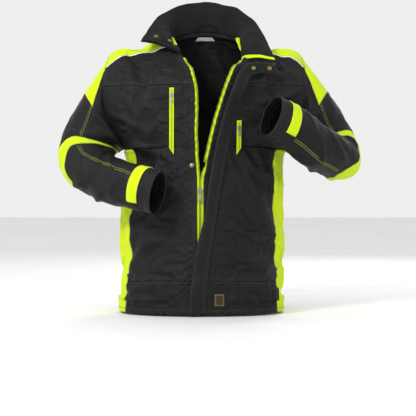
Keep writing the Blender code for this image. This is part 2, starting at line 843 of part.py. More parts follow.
def add_pull(name, parent, width, length, eye, depth, material):
    """A flat pull tab that hangs from the bar of its eye; its origin is on its swing axis."""
    curve = bpy.data.curves.new(name, "CURVE")
    curve.dimensions = "2D"
    curve.fill_mode = "BOTH"
    curve.extrude = depth / 2
    half, bar = width / 2, 0.0005
    side_bar = eye[0] / 2
    outline = [(-half * 0.8, bar), (half * 0.8, bar), (half, -eye[1]), (half * 0.9, -length)]
    outline += [(half * 0.5, -length - 0.0015), (-half * 0.5, -length - 0.0015)]
    outline += [(-half * 0.9, -length), (-half, -eye[1])]
    hole = [(-side_bar, -bar), (side_bar, -bar), (side_bar, -bar - eye[1]), (-side_bar, -bar - eye[1])]
    for points in (outline, hole):
        spline = curve.splines.new("POLY")
        spline.points.add(len(points) - 1)
        for point, (x, y) in zip(spline.points, points):
            point.co = (x, y, 0.0, 1.0)
        spline.use_cyclic_u = True
    curve.materials.append(material)
    pull = bpy.data.objects.new(name, curve)
    PIECES.objects.link(pull)
    pull.parent = parent
    pull.rotation_euler = (math.pi / 2, 0.0, 0.0)
    return pull


def build_main_slider():
    low, _ = body_surface(-1)(edge_angle(CHAIN_X, 0.04), 0.04)
    at, outward = body_surface(-1)(edge_angle(CHAIN_X, SLIDER_HEIGHT), SLIDER_HEIGHT)
    frame = zip_frame("slider_frame", low, at, outward, at)
    half, length = 0.0053, 0.0085
    boxes = [
        ((-half, -0.0018, -length), (half, -0.0006, length)),
        ((-half, 0.0056, -length), (half, 0.0066, length)),
        ((-0.0009, -0.0008, 0.0045), (0.0009, 0.0058, 0.0075)),
        ((-0.0012, -0.0036, 0.0035), (0.0012, -0.0016, 0.0055)),
        ((-0.0012, -0.0036, -0.0045), (0.0012, -0.0016, -0.0025)),
        ((-0.0012, -0.0044, -0.0045), (0.0012, -0.0034, 0.0055)),
    ]
    joined_boxes("zip_slider", boxes, DARK_METAL, frame)
    pull = add_pull("zip_pull", frame, 0.0078, 0.030, (0.0042, 0.0090), 0.0010, DARK_METAL)
    pull.location = (0.0, -0.0026, 0.0020)
    low_box = ((-0.0072, -0.0012, -0.3090), (0.0072, 0.0062, -0.2980))
    box = joined_boxes("zip_box", [low_box], DARK_METAL, frame)
    return box


def build_pocket_zip(side, word):
    surface = body_surface(side)
    x = side * POCKET_ZIP_X
    top = POCKET_ZIP_HIGH[side]
    low, _ = surface(edge_angle(x, POCKET_ZIP_LOW), POCKET_ZIP_LOW)
    high, _ = surface(edge_angle(x, top), top)
    middle_height = (POCKET_ZIP_LOW + top) / 2
    _, outward = surface(edge_angle(x, middle_height), middle_height)
    length = float(np.linalg.norm(high - low))
    at = high + outward * POCKET_ZIP_RISE
    frame = zip_frame(f"pocket_frame_{word}", low, high, outward, at)
    half = POCKET_ZIP_WIDE / 2
    tape = [((-half, -0.0006, -length), (half, 0.0004, 0.0))]
    joined_boxes(f"pocket_zip_tape_{word}", tape, TAPE, frame)
    teeth = [((-0.0018, -0.0024, -length + 0.010), (0.0018, -0.0010, -0.004))]
    joined_boxes(f"pocket_zip_teeth_{word}", teeth, TEETH, frame)
    rider = bpy.data.objects.new(f"pocket_slider_frame_{word}", None)
    PIECES.objects.link(rider)
    rider.parent = frame
    rider.location = (0.0, -0.0028, -POCKET_SLIDER_DROP)
    boxes = [
        ((-0.0040, -0.0010, -0.0060), (0.0040, 0.0000, 0.0060)),
        ((-0.0010, -0.0026, 0.0025), (0.0010, -0.0008, 0.0040)),
        ((-0.0010, -0.0026, -0.0040), (0.0010, -0.0008, -0.0025)),
        ((-0.0010, -0.0034, -0.0040), (0.0010, -0.0024, 0.0040)),
    ]
    joined_boxes(f"pocket_slider_{word}", boxes, DARK_METAL, rider)
    pull = add_pull(f"pocket_pull_{word}", rider, 0.0062, 0.020, (0.0034, 0.0075), 0.0008, DARK_METAL)
    pull.location = (0.0, -0.0017, 0.0012)

    def bag_chart(u, height):
        return edge_angle(side * mix(0.104, 0.182, u), height), height

    rows = row_heights(0.398, POCKET_BAG_TOP)
    name = f"pocket_bag_{word}"
    sheet(name, surface, bag_chart, spread(0, 1, 5), rows, TWILL, lift=-0.0082, thickness=0.0010)


# ---------------------------------------------------------------- snaps and badge


def turned(name, profile, at, axis, material, steps=16):
    """A solid turned about its own Z axis, then pointed along an axis."""
    mesh = bpy.data.meshes.new(name)
    edges = [(i, i + 1) for i in range(len(profile) - 1)]
    mesh.from_pydata([(r, 0.0, z) for r, z in profile], edges, [])
    obj = add_piece(name, mesh, material)
    screw = obj.modifiers.new("turn", "SCREW")
    screw.steps = screw.render_steps = steps
    screw.use_merge_vertices = True
    screw.merge_threshold = 0.00001
    obj.rotation_euler = Vector(axis).to_track_quat("Z", "Y").to_euler()
    obj.location = at
    return obj


def stud_profile(radius, height):
    return [(0.0, height), (radius * 0.6, height * 0.9), (radius, height * 0.4), (radius, 0.0), (0.0, 0.0)]


def socket_profile(radius, height, bore):
    return [
        (0.0, height * 0.4),
        (bore, height * 0.4),
        (bore, height),
        (radius * 0.8, height),
        (radius, height * 0.4),
        (radius, 0.0),
        (0.0, 0.0),
    ]


def build_snaps():
    for name, rise in (("collar_stud_lower", 0.36), ("collar_stud_upper", 0.76)):
        point, normal = collar_surface(0.055, rise)
        at = point - normal * 0.0050
        turned(name, stud_profile(0.0065, 0.0028), at, -normal, METAL)

    def flap_point(u, v):
        return mix(smooth(FLAP_TOP_OUTER, v), smooth(FLAP_TOP_ZIP, v), u)

    for name, v in (("flap_socket_lower", 0.62), ("flap_socket_upper", 0.88)):
        normal = -outward_normal(flap_point, 0.5, v, 0.02, 0.02)
        at = flap_point(0.5, v) + normal * 0.0006
        turned(name, socket_profile(0.0062, 0.0030, 0.0030), at, normal, METAL)
    height = 0.384
    point, normal = body_surface(-1)(edge_angle(-0.033, height), height)
    turned("front_stud", stud_profile(0.0062, 0.0028), point + normal * 0.0006, normal, METAL)


def build_badge():
    def chart(u, height):
        return edge_angle(mix(0.024, 0.049, u), height), height

    rows = spread(0.022, 0.053, 2)
    name = "badge_patch"
    sheet(name, body_surface(1), chart, spread(0, 1, 3), rows, LABEL, lift=0.0016, thickness=TRIM)


build_back()
for SIDE, WORD in ((-1, "right"), (1, "left")):
    build_front(SIDE, WORD)
    build_side(SIDE, WORD)
    build_shoulder(SIDE, WORD)
    build_sleeve(SIDE, WORD)
    build_pocket_zip(SIDE, WORD)
build_facings()
build_collar()
build_loop_and_label()
build_flap()
build_zip_sides()
build_main_slider()
build_snaps()
build_badge()
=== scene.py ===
"""Looks of the two-tone work jacket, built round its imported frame.

Metres, +Z up, front towards -Y, the wearer's left at +X. Heights on the body are counted from the
hem. The body, the sleeves and the collar are the surfaces that the CAD panels lie on; here their
creases come from a short cloth simulation and from drawn folds.
"""

import math

import bpy
import numpy as np
from mathutils import Matrix, Vector


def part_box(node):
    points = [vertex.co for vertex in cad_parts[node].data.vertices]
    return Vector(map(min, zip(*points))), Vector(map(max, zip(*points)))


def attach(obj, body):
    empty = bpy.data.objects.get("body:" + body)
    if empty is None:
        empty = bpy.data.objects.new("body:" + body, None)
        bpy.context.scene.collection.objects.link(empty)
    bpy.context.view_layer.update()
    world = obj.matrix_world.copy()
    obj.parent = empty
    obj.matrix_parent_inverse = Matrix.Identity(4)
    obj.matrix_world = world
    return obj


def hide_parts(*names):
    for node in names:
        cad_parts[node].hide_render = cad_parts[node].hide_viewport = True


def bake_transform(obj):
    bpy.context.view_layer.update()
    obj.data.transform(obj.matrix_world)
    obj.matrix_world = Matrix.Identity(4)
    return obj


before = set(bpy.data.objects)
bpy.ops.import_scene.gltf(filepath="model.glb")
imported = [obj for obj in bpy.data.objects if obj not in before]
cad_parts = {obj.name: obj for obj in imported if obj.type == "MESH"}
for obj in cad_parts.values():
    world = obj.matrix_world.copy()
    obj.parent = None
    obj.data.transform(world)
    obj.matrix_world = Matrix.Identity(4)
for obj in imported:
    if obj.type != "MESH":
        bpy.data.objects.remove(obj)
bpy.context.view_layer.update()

# The jacket hangs from its loop: the loop's top is the origin, and the hem is this far from it.
HEM_ORIGIN = np.array((0.0, -0.050, -0.782))

# Bodies that the pieces ride on
ROOT = "jacket_body"

# Cloth
SHELL = 0.0016
TRIM = 0.0008
ROUNDNESS = 0.92

# Body surface: height along the side, then centre x, height of the side, front and back lines,
# half width, front depth and back depth.
BODY = (
    (0.000, -0.010, 0.000, 0.000, 0.000, 0.222, 0.1500, 0.140),
    (0.120, -0.008, 0.120, 0.120, 0.120, 0.218, 0.1481, 0.137),
    (0.240, -0.006, 0.240, 0.240, 0.240, 0.212, 0.1463, 0.131),
    (0.340, -0.003, 0.340, 0.340, 0.340, 0.212, 0.1447, 0.128),
    (0.434, 0.000, 0.434, 0.434, 0.434, 0.216, 0.1350, 0.128),
    (0.490, 0.000, 0.490, 0.490, 0.490, 0.262, 0.1290, 0.128),
    (0.545, 0.000, 0.545, 0.545, 0.545, 0.300, 0.1230, 0.126),
    (0.600, 0.000, 0.600, 0.598, 0.602, 0.297, 0.1170, 0.122),
    (0.650, 0.000, 0.650, 0.640, 0.655, 0.280, 0.1040, 0.114),
    (0.692, 0.000, 0.690, 0.655, 0.700, 0.255, 0.0920, 0.102),
    (0.790, 0.000, 0.714, 0.672, 0.732, 0.165, 0.0860, 0.085),
    (0.880, 0.000, 0.735, 0.640, 0.755, 0.085, 0.1000, 0.065),
)
HEM_TOP = 0.086
ARMPIT = 0.434
YOKE_SEAM = 0.597
NECK = 0.880
BACK_ANGLE = 360.0

# Armhole: an oval on the body, centred on each side line.
ARMHOLE_HEIGHT = 0.563
ARMHOLE_HALF = 0.129
ARMHOLE_FRONT = 28.0
ARMHOLE_BACK = 24.0
ARMHOLE_MARGIN = -2.4
SHOULDER_SEAM = 48.0
SHOULDER_SEAM_BACK = 42.0
SHOULDER_FRONT = ((0.649, 69.2), (0.680, 60.0), (0.710, 54.5), (0.770, 51.5), (0.880, 58.0))
SHOULDER_BACK = ((0.659, 106.1), (0.770, 110.0), (0.880, 112.0))

# Side panel: its front seam's angle at each height, and its back seam's.
SIDE_FRONT = ((0.000, 64.0), (0.120, 64.5), (0.240, 62.5), (0.340, 60.0), (0.434, 56.0))
SIDE_BACK = 106.0

# Front edges: x of each front panel's edge at each height.
CHAIN_X = -0.012
EDGE_HALF = 0.008
SLIDER_HEIGHT = 0.317
CHAIN_END = 0.330
RIGHT_EDGE = (
    (0.000, CHAIN_X - EDGE_HALF),
    (CHAIN_END, CHAIN_X - EDGE_HALF),
    (CHAIN_END + 0.008, CHAIN_X - EDGE_HALF),
    (0.400, -0.024),
    (0.460, -0.027),
    (0.600, -0.030),
    (0.640, -0.038),
    (0.692, -0.052),
    (0.790, -0.062),
    (0.880, -0.066),
)
LEFT_EDGE = (
    (0.000, CHAIN_X + EDGE_HALF),
    (CHAIN_END, CHAIN_X + EDGE_HALF),
    (CHAIN_END + 0.008, CHAIN_X + EDGE_HALF),
    (0.390, 0.005),
    (0.460, 0.020),
    (0.545, 0.040),
    (0.600, 0.054),
    (0.650, 0.066),
    (0.692, 0.072),
    (0.790, 0.074),
    (0.880, 0.074),
)
# How far the left front's edge is pulled away from the body at each height, and the angle by
# which the pull has died out.
PULL = (
    (0.000, 0.000, 0.000, 0.000),
    (CHAIN_END, 0.000, 0.000, 0.000),
    (CHAIN_END + 0.008, 0.000, 0.000, 0.000),
    (0.400, 0.000, -0.015, 0.000),
    (0.460, 0.000, -0.028, 0.000),
    (0.545, 0.004, -0.044, 0.000),
    (0.600, 0.008, -0.052, 0.000),
    (0.640, 0.012, -0.050, 0.000),
    (0.692, 0.020, -0.040, -0.006),
    (0.790, 0.026, -0.030, -0.018),
    (0.880, 0.030, -0.022, -0.036),
)
PULL_END = 75.0

# Sleeve sections: centre (outward x, y, z), the way the section faces, the way of its wide axis,
# half its size along that axis and half its size across it.
UPWARD = (0.0, 0.0, 1.0)
RIGHT_ARM = (
    ((0.275, -0.002, 0.505), (0.81, 0.00, -0.59), (0.59, 0.00, 0.81), 0.090, 0.080),
    ((0.310, -0.008, 0.448), (0.25, -0.15, -0.95), (0.96, 0.00, 0.29), 0.078, 0.072),
    ((0.312, -0.037, 0.393), (-0.31, -0.45, -0.83), (0.76, 0.40, -0.51), 0.076, 0.068),
    ((0.262, -0.100, 0.355), (-0.75, -0.60, -0.25), UPWARD, 0.062, 0.054),
    ((0.195, -0.154, 0.332), (-0.77, -0.59, -0.22), UPWARD, 0.058, 0.044),
    ((0.118, -0.204, 0.3125), (-0.80, -0.56, -0.22), UPWARD, 0.056, 0.032),
)
LEFT_ARM = (
    ((0.280, 0.000, 0.510), (0.81, 0.00, -0.59), (0.59, 0.00, 0.81), 0.092, 0.076),
    ((0.322, 0.006, 0.462), (0.33, -0.10, -0.94), (0.94, 0.00, 0.34), 0.078, 0.056),
    ((0.350, -0.040, 0.410), (-0.29, -0.78, -0.55), (0.56, 0.30, -0.78), 0.070, 0.062),
    ((0.288, -0.130, 0.432), (-0.62, -0.62, 0.42), UPWARD, 0.060, 0.052),
    ((0.230, -0.170, 0.472), (-0.65, -0.60, 0.40), UPWARD, 0.060, 0.046),
    ((0.166, -0.217, 0.505), (-0.70, -0.58, 0.40), UPWARD, 0.056, 0.034),
)
# Places along a sleeve are counted in these sections, from 0 at the armhole to 6 at the wrist.
HEAD_END = 0.95
CUFF_START = 5.65
CUFF_BAND = (5.30, 5.62)
CUFF_BAND_HALF = 125.0
SLEEVE_SEAM = ((0.0, 48.0), (0.5, 58.0), (1.0, 65.0), (6.0, 65.0))
# The elbow panel's edges at each angle from the elbow's tip round to its crook.
ELBOW_UPPER = ((0.0, 2.65), (40.0, 2.50), (100.0, 2.05), (140.0, 2.02), (180.0, 2.00))
ELBOW_LOWER = ((0.0, 3.50), (40.0, 3.35), (70.0, 2.95), (100.0, 2.50), (140.0, 2.35), (180.0, 2.26))

# Collar: the free edge, from the right end (0) round the back (0.5) to the left end (1).
COLLAR_EDGE = (
    (0.00, -0.170, -0.070, 0.728),
    (0.12, -0.150, -0.020, 0.765),
    (0.25, -0.115, 0.025, 0.805),
    (0.37, -0.068, 0.062, 0.836),
    (0.50, 0.000, 0.088, 0.846),
    (0.63, 0.068, 0.060, 0.832),
    (0.75, 0.115, 0.018, 0.800),
    (0.88, 0.158, -0.045, 0.740),
    (1.00, 0.182, -0.122, 0.670),
)
COLLAR_RISE = 0.052
COLLAR_DIP = 0.026
LEAF_DROP_RIGHT = (0.0, 0.010, 0.016)
LEAF_DROP_LEFT = (-0.002, 0.010, 0.018)

# Storm flap: x of its free edge and of its stitched edge at each height.
FLAP_FREE = (
    (0.000, -0.042),
    (0.160, -0.024),
    (0.246, -0.003),
    (0.320, 0.007),
    (0.447, 0.028),
    (0.540, 0.050),
)
FLAP_STITCHED = (
    (0.000, 0.005),
    (0.115, 0.010),
    (0.166, 0.018),
    (0.346, 0.045),
    (0.447, 0.064),
    (0.540, 0.090),
)
FLAP_LIFT = (0.0035, 0.0095)
# The flap's top end, folded out beside the collar: its edge at the zip and its outer edge.
FLAP_TOP_ZIP = (
    (0.0, 0.060, -0.1860, 0.548),
    (0.3, 0.082, -0.1800, 0.612),
    (0.6, 0.112, -0.1640, 0.646),
    (0.8, 0.142, -0.1500, 0.650),
    (1.0, 0.174, -0.1400, 0.646),
)
FLAP_TOP_OUTER = (
    (0.0, 0.092, -0.1740, 0.546),
    (0.3, 0.106, -0.1720, 0.584),
    (0.6, 0.128, -0.1600, 0.617),
    (0.8, 0.160, -0.1460, 0.620),
    (1.0, 0.200, -0.1360, 0.616),
)

# Zips
ZIP_BOTTOM = 0.022
ZIP_TOP = 0.745
FACING_WIDE = 0.045
POCKET_ZIP_X = 0.086
POCKET_ZIP_LOW = 0.412
POCKET_ZIP_HIGH = {-1: 0.588, 1: 0.500}
POCKET_ZIP_WIDE = 0.012
POCKET_ZIP_RISE = 0.0034
POCKET_SLIDER_DROP = 0.020
POCKET_BAG_TOP = 0.585

# Hanger loop
LOOP_HALF = 0.030
LOOP_Y = 0.050
LOOP_FOOT = 0.760
LOOP_TOP = 0.782


# Seams, creases and thread
CREASE_STEPS = 24
UNEVEN = 0.0011
SEAM_DEPTH = 0.0013
SEAM_RISE = 0.0005
SEAM_ALLOWANCE = 0.0095
PUCKER = 0.0090
PUCKER_HEIGHT = 0.00045
STITCH = 0.0027
STITCH_PITCH = 0.0037
THREAD_RADIUS = 0.00048
SEAM_GAP_ANGLE = 0.06
SEAM_GAP_HEIGHT = 0.0003
ROW_LIFT = 0.0004
TOOTH_PITCH = 0.0026


# ---------------------------------------------------------------- smooth curves


def smooth(table, at):
    """The values of a table of rows (key, value, ...) at keys, on one smooth curve."""
    table = np.asarray(table, float)
    keys, rows = table[:, 0], table[:, 1:]
    slopes = np.gradient(rows, keys, axis=0)
    at = np.clip(np.asarray(at, float), keys[0], keys[-1])
    i = np.clip(np.searchsorted(keys, at, side="right") - 1, 0, len(keys) - 2)
    span = (keys[i + 1] - keys[i])[..., None]
    t = (at - keys[i])[..., None] / span
    start = rows[i] * (1 + 2 * t) * (1 - t) ** 2 + slopes[i] * span * t * (1 - t) ** 2
    end = rows[i + 1] * t * t * (3 - 2 * t) - slopes[i + 1] * span * t * t * (1 - t)
    return start + end


def curve(table, at):
    """The one value of a table of pairs."""
    return smooth(table, at)[..., 0]


def mix(a, b, t):
    return a + (b - a) * t


def fade(value, low, high):
    """0 below low, 1 above high and smooth between."""
    t = np.clip((value - low) / (high - low), 0.0, 1.0)
    return t * t * (3 - 2 * t)


def bump(value, width):
    return np.exp(-((value / width) ** 2))


def signed_power(value, power):
    return np.sign(value) * np.abs(value) ** power


def wrap(angle):
    return (angle + 180.0) % 360.0 - 180.0


def unit(vector):
    return vector / np.linalg.norm(vector, axis=-1, keepdims=True)


def linked(name, data):
    """A new object in the scene."""
    obj = bpy.data.objects.new(name, data)
    bpy.context.scene.collection.objects.link(obj)
    return obj


# ---------------------------------------------------------------- body surface


def body_point(angle, height):
    """Points of the body: angles in degrees from the front centre towards +X."""
    angle, height = np.broadcast_arrays(np.asarray(angle, float), np.asarray(height, float))
    centre, z_side, z_front, z_back, half, front, back = np.moveaxis(smooth(BODY, height), -1, 0)
    turn = np.radians(wrap(angle))
    s, c = np.sin(turn), np.cos(turn)
    depth, z_middle = np.where(c > 0, front, back), np.where(c > 0, z_front, z_back)
    x = centre + half * signed_power(s, ROUNDNESS)
    y = -depth * signed_power(c, ROUNDNESS)
    return np.stack((x, y, mix(z_side, z_middle, c * c)), -1)


def edge_angle(x, height):
    """The angle at which the body's surface has this x, in front."""
    rows = smooth(BODY, height)
    ratio = signed_power((x - rows[..., 0]) / rows[..., 4], 1 / ROUNDNESS)
    return np.degrees(np.arcsin(np.clip(ratio, -1.0, 1.0)))


def front_edge(side, height):
    return curve(LEFT_EDGE if side > 0 else RIGHT_EDGE, height)


def left_point(angle, height):
    """The body's surface with the left front pulled away, as the open zip leaves it."""
    point = body_point(angle, height)
    angle = wrap(np.asarray(angle, float))
    edge = edge_angle(front_edge(1, height), height)
    weight = np.clip((PULL_END - angle) / (PULL_END - edge), 0.0, 1.0) ** 2
    weight = np.where(angle > -90.0, weight, 0.0)
    return point + weight[..., None] * smooth(PULL, height)


def whole_body(angle, height):
    """Both sides as one surface, for pieces that cross the back."""
    left = (wrap(np.asarray(angle, float)) > 0)[..., None]
    return np.where(left, left_point(angle, height), body_point(angle, height))


def body_side(side):
    return left_point if side > 0 else body_point


def armhole_angle(height, back=False):
    """How far the armhole reaches from the side line at this height."""
    across = (height - ARMHOLE_HEIGHT) / ARMHOLE_HALF
    reach = ARMHOLE_BACK if back else ARMHOLE_FRONT
    return reach * np.sqrt(np.maximum(0.0, 1.0 - across * across))


def armhole_height(angle):
    """The armhole's upper edge at an angle from the front centre."""
    reach = np.where(angle < 90.0, ARMHOLE_FRONT, ARMHOLE_BACK)
    return ARMHOLE_HEIGHT + ARMHOLE_HALF * np.sqrt(
        np.maximum(0.0, 1.0 - ((angle - 90.0) / reach) ** 2)
    )


def shoulder_seam_start(back=False):
    """Angle and height where the shoulder seam meets the armhole."""
    turn = math.radians(SHOULDER_SEAM_BACK if back else SHOULDER_SEAM)
    reach = ARMHOLE_BACK if back else -ARMHOLE_FRONT
    return 90.0 + reach * math.sin(turn), ARMHOLE_HEIGHT + ARMHOLE_HALF * math.cos(turn)


def shoulder_seam_angle(height, back=False):
    return curve(SHOULDER_BACK if back else SHOULDER_FRONT, height)


def front_outer_angle(height):
    """A front panel's outer boundary: the side seam, the armhole, then the shoulder seam."""
    armhole = 90.0 - armhole_angle(height) - ARMHOLE_MARGIN
    upper = np.where(height < shoulder_seam_start()[1], armhole, shoulder_seam_angle(height))
    return np.where(height < ARMPIT, curve(SIDE_FRONT, height), upper)


def back_outer_angle(height):
    start = shoulder_seam_start(back=True)[1]
    armhole = 90.0 + armhole_angle(height, back=True) + ARMHOLE_MARGIN
    upper = np.where(height < start, armhole, shoulder_seam_angle(height, back=True))
    return np.where(height < ARMPIT, SIDE_BACK, upper)


# ---------------------------------------------------------------- sleeve surface


def armhole_point(side, turn):
    """The armhole's rim: turn 0 at the shoulder, 90 in front, 180 in the armpit."""
    radians = np.radians(turn)
    reach = np.where(np.sin(radians) > 0, ARMHOLE_FRONT, ARMHOLE_BACK)
    angle = 90.0 - reach * np.sin(radians)
    return body_side(side)(side * angle, ARMHOLE_HEIGHT + ARMHOLE_HALF * np.cos(radians))


def sleeve_sections(side):
    """Each section's centre, turn directions and half axes, from the armhole on."""
    arm = LEFT_ARM if side > 0 else RIGHT_ARM
    mirrored = (side, 1, 1)
    outer = unit(np.array((side * 1.0, 0.0, 0.5)))
    sections = []
    for centre, faces, axis, wide, narrow in arm:
        along = unit(np.array(faces) * mirrored)
        outer = unit(outer - along * np.dot(outer, along))
        front = unit(np.cross(along, outer)) * side
        wide_axis = np.array(axis) * mirrored
        wide_axis = unit(wide_axis - along * np.dot(wide_axis, along))
        narrow_axis = np.cross(along, wide_axis)
        centre = np.array(centre) * mirrored
        sections.append((centre, outer, front, wide_axis * wide, narrow_axis * narrow))
    return sections


def sleeve_surface(side):
    """Returns a function giving the sleeve's points at (turn, section)."""
    sections = sleeve_sections(side)

    def point(turn, at):
        turn, at = np.broadcast_arrays(np.asarray(turn, float), np.asarray(at, float))
        radians = np.radians(turn)[..., None]
        rings = [armhole_point(side, turn)]
        for centre, outer, front, wide, narrow in sections:
            ray = outer * np.cos(radians) + front * np.sin(radians)
            offset = wide * (ray @ unit(wide))[..., None]
            offset = offset + narrow * (ray @ unit(narrow))[..., None]
            rings.append(centre + offset)
        rings = np.stack(rings, 0)
        slopes = np.gradient(rings, axis=0)
        i = np.clip(at.astype(int), 0, len(rings) - 2)
        t = (np.clip(at, 0.0, len(rings) - 1.0) - i)[..., None]
        here, there = i[None, ..., None], i[None, ..., None] + 1
        start = np.take_along_axis(rings, here, 0)[0] * (1 + 2 * t) * (1 - t) ** 2
        start = start + np.take_along_axis(slopes, here, 0)[0] * t * (1 - t) ** 2
        end = np.take_along_axis(rings, there, 0)[0] * t * t * (3 - 2 * t)
        end = end - np.take_along_axis(slopes, there, 0)[0] * t * t * (1 - t)
        return start + end

    return point


def elbow_turn(side):
    """The turn at which the elbow's tip lies."""
    _, outer, front, tip, _ = sleeve_sections(side)[2]
    return math.degrees(math.atan2(np.dot(tip, front), np.dot(tip, outer)))


# ---------------------------------------------------------------- collar and flap surfaces


def collar_point(across, rise):
    """The collar: across from the right end to the left end, rise from the neck seam outwards."""
    across, rise = np.broadcast_arrays(np.asarray(across, float), np.asarray(rise, float))
    right = -edge_angle(front_edge(-1, NECK), NECK)
    left = edge_angle(front_edge(1, NECK), NECK)
    angle = -right - across * (BACK_ANGLE - right - left)
    # The neck seam dips towards the open ends, and the leaves lie lower on the fronts.
    end = fade(np.abs(across - 0.5), 0.26, 0.5)
    height = NECK - COLLAR_DIP * end
    side = np.where(across < 0.5, -1, 1)
    right_dip = -edge_angle(front_edge(-1, NECK - COLLAR_DIP), NECK - COLLAR_DIP)
    left_dip = edge_angle(front_edge(1, NECK - COLLAR_DIP), NECK - COLLAR_DIP)
    shift = np.where(side < 0, -(right_dip - right), left_dip - left)
    base = whole_body(angle + shift * end**2, height)
    base = base + np.stack((0 * end, -0.0040 * end, 0 * end), -1)
    edge = smooth(COLLAR_EDGE, across)
    edge = edge - end[..., None] * np.where((side < 0)[..., None], LEAF_DROP_RIGHT, LEAF_DROP_LEFT)
    bend = base + np.stack((0 * end, -0.014 * end, COLLAR_RISE * (1 - 0.72 * end)), -1)
    rise = rise[..., None]
    return base * (1 - rise) ** 2 + bend * 2 * rise * (1 - rise) + edge * rise**2


# ---------------------------------------------------------------- creases by cloth simulation


def grid_faces(rows, columns, ring):
    """The faces of a grid of points, row by row; in a ring the last column joins the first."""
    steps = columns if ring else columns - 1
    row, column = np.meshgrid(np.arange(rows - 1), np.arange(steps), indexing="ij")
    right = (column + 1) % columns
    low, high = row * columns, (row + 1) * columns
    return np.stack((low + column, low + right, high + right, high + column), -1).reshape(-1, 4)


class Creases:
    """A surface after a short cloth simulation: how far each of its points has moved.

    The cloth is the whole surface as a grid. It is cut a little too large and held softly to its
    shape, so that it buckles into creases, and how far any point moves is limited.
    """

    def __init__(self, name, surface, firsts, seconds, ring, grow, hold, limit):
        self.firsts, self.seconds = np.asarray(firsts, float), np.asarray(seconds, float)
        self.base = surface(self.firsts[None, :], self.seconds[:, None])
        self.ring = ring
        moved = self.simulate(name, grow, hold)
        shift = moved - self.base
        far = np.linalg.norm(shift, axis=-1, keepdims=True)
        self.shift = shift * (limit * np.tanh(far / limit) / np.maximum(far, 1e-9))

    def simulate(self, name, grow, hold):
        """The surface's points at the end of the simulation."""
        rows, columns, _ = self.base.shape
        mesh = bpy.data.meshes.new(name)
        faces = grid_faces(rows, columns, self.ring)
        mesh.from_pydata(self.base.reshape(-1, 3).tolist(), [], faces.tolist())
        obj = linked(name, mesh)
        group = obj.vertex_groups.new(name="hold")
        weights = hold(self.firsts[None, :], self.seconds[:, None])
        for index, weight in enumerate(np.broadcast_to(weights, (rows, columns)).ravel()):
            group.add([index], float(weight), "REPLACE")
        cloth = obj.modifiers.new("cloth", "CLOTH")
        settings = cloth.settings
        settings.quality = 4
        settings.mass = 0.25
        settings.tension_stiffness = settings.compression_stiffness = 18.0
        settings.shear_stiffness = 6.0
        settings.bending_stiffness = 0.25
        settings.air_damping = 2.0
        settings.vertex_group_mass = "hold"
        settings.pin_stiffness = 1.0
        settings.shrink_min = settings.shrink_max = -grow
        cloth.collision_settings.use_collision = False
        settings.effector_weights.gravity = 0.15
        scene = bpy.context.scene
        cloth.point_cache.frame_start, cloth.point_cache.frame_end = 1, CREASE_STEPS
        for step in range(1, CREASE_STEPS + 1):
            scene.frame_set(step)
        evaluated = obj.evaluated_get(bpy.context.evaluated_depsgraph_get())
        moved = np.empty(rows * columns * 3, np.float32)
        evaluated.data.vertices.foreach_get("co", moved)
        scene.frame_set(1)
        bpy.data.objects.remove(obj, do_unlink=True)
        bpy.data.meshes.remove(mesh)
        return moved.reshape(rows, columns, 3).astype(float)

    def at(self, first, second):
        """How far the surface has moved at places given as the surface's own two numbers."""
        columns, rows = len(self.firsts), len(self.seconds)
        if self.ring:
            step = 360.0 / columns
            u = ((first - self.firsts[0]) / step) % columns
            i = np.floor(u).astype(int) % columns
            i_next = (i + 1) % columns
        else:
            u = np.interp(first, self.firsts, np.arange(columns))
            i = np.clip(np.floor(u).astype(int), 0, columns - 2)
            i_next = i + 1
        v = np.interp(second, self.seconds, np.arange(rows))
        j = np.clip(np.floor(v).astype(int), 0, rows - 2)
        s, t = (u - np.floor(u))[..., None], (v - j)[..., None]
        s, t = s * s * (3 - 2 * s), t * t * (3 - 2 * t)
        low = mix(self.shift[j, i], self.shift[j, i_next], s)
        high = mix(self.shift[j + 1, i], self.shift[j + 1, i_next], s)
        return mix(low, high, t)


# ---------------------------------------------------------------- drawn folds and small unevenness


def line_on(surface, places, count=24):
    """A smooth line through places of a surface."""
    table = [(i, *place) for i, place in enumerate(places)]
    at = smooth(table, np.linspace(0, len(places) - 1, count))
    return surface(at[:, 0], at[:, 1])


def fold_height(points, folds):
    """How far drawn folds stand out at points. A fold is (line, height, half width)."""
    flat = points.reshape(-1, 3)
    total = np.zeros(len(flat))
    for line, height, width in folds:
        reach = 3 * width
        near = ((flat > line.min(0) - reach) & (flat < line.max(0) + reach)).all(1)
        if not near.any():
            continue
        step = line[1:] - line[:-1]
        rel = flat[near][:, None] - line[None, :-1]
        t = np.clip((rel * step).sum(-1) / (step * step).sum(-1), 0, 1)
        away = np.linalg.norm(rel - t[..., None] * step, axis=-1)
        nearest = away.argmin(1)
        row = np.arange(len(nearest))
        along = (nearest + t[row, nearest]) / len(step)
        taper = np.sin(math.pi * np.clip(along, 0, 1)) ** 0.7
        away = away[row, nearest]
        total[near] += height * taper * (bump(away, width) - 0.4 * bump(away, 2 * width))
    return total.reshape(points.shape[:-1])


RANDOM = np.random.default_rng(7)
WAVE_WAYS = unit(RANDOM.normal(size=(18, 3)))
WAVE_LENGTHS = RANDOM.uniform(0.014, 0.060, 18)
WAVE_STARTS = RANDOM.uniform(0, 2 * math.pi, 18)


def unevenness(points):
    """A small soft unevenness, from -1 to 1 or so."""
    total = np.zeros(points.shape[:-1])
    for way, length, start in zip(WAVE_WAYS, WAVE_LENGTHS, WAVE_STARTS):
        total += (length / 0.06) * np.sin(points @ way * (2 * math.pi / length) + start)
    return total / 3.0


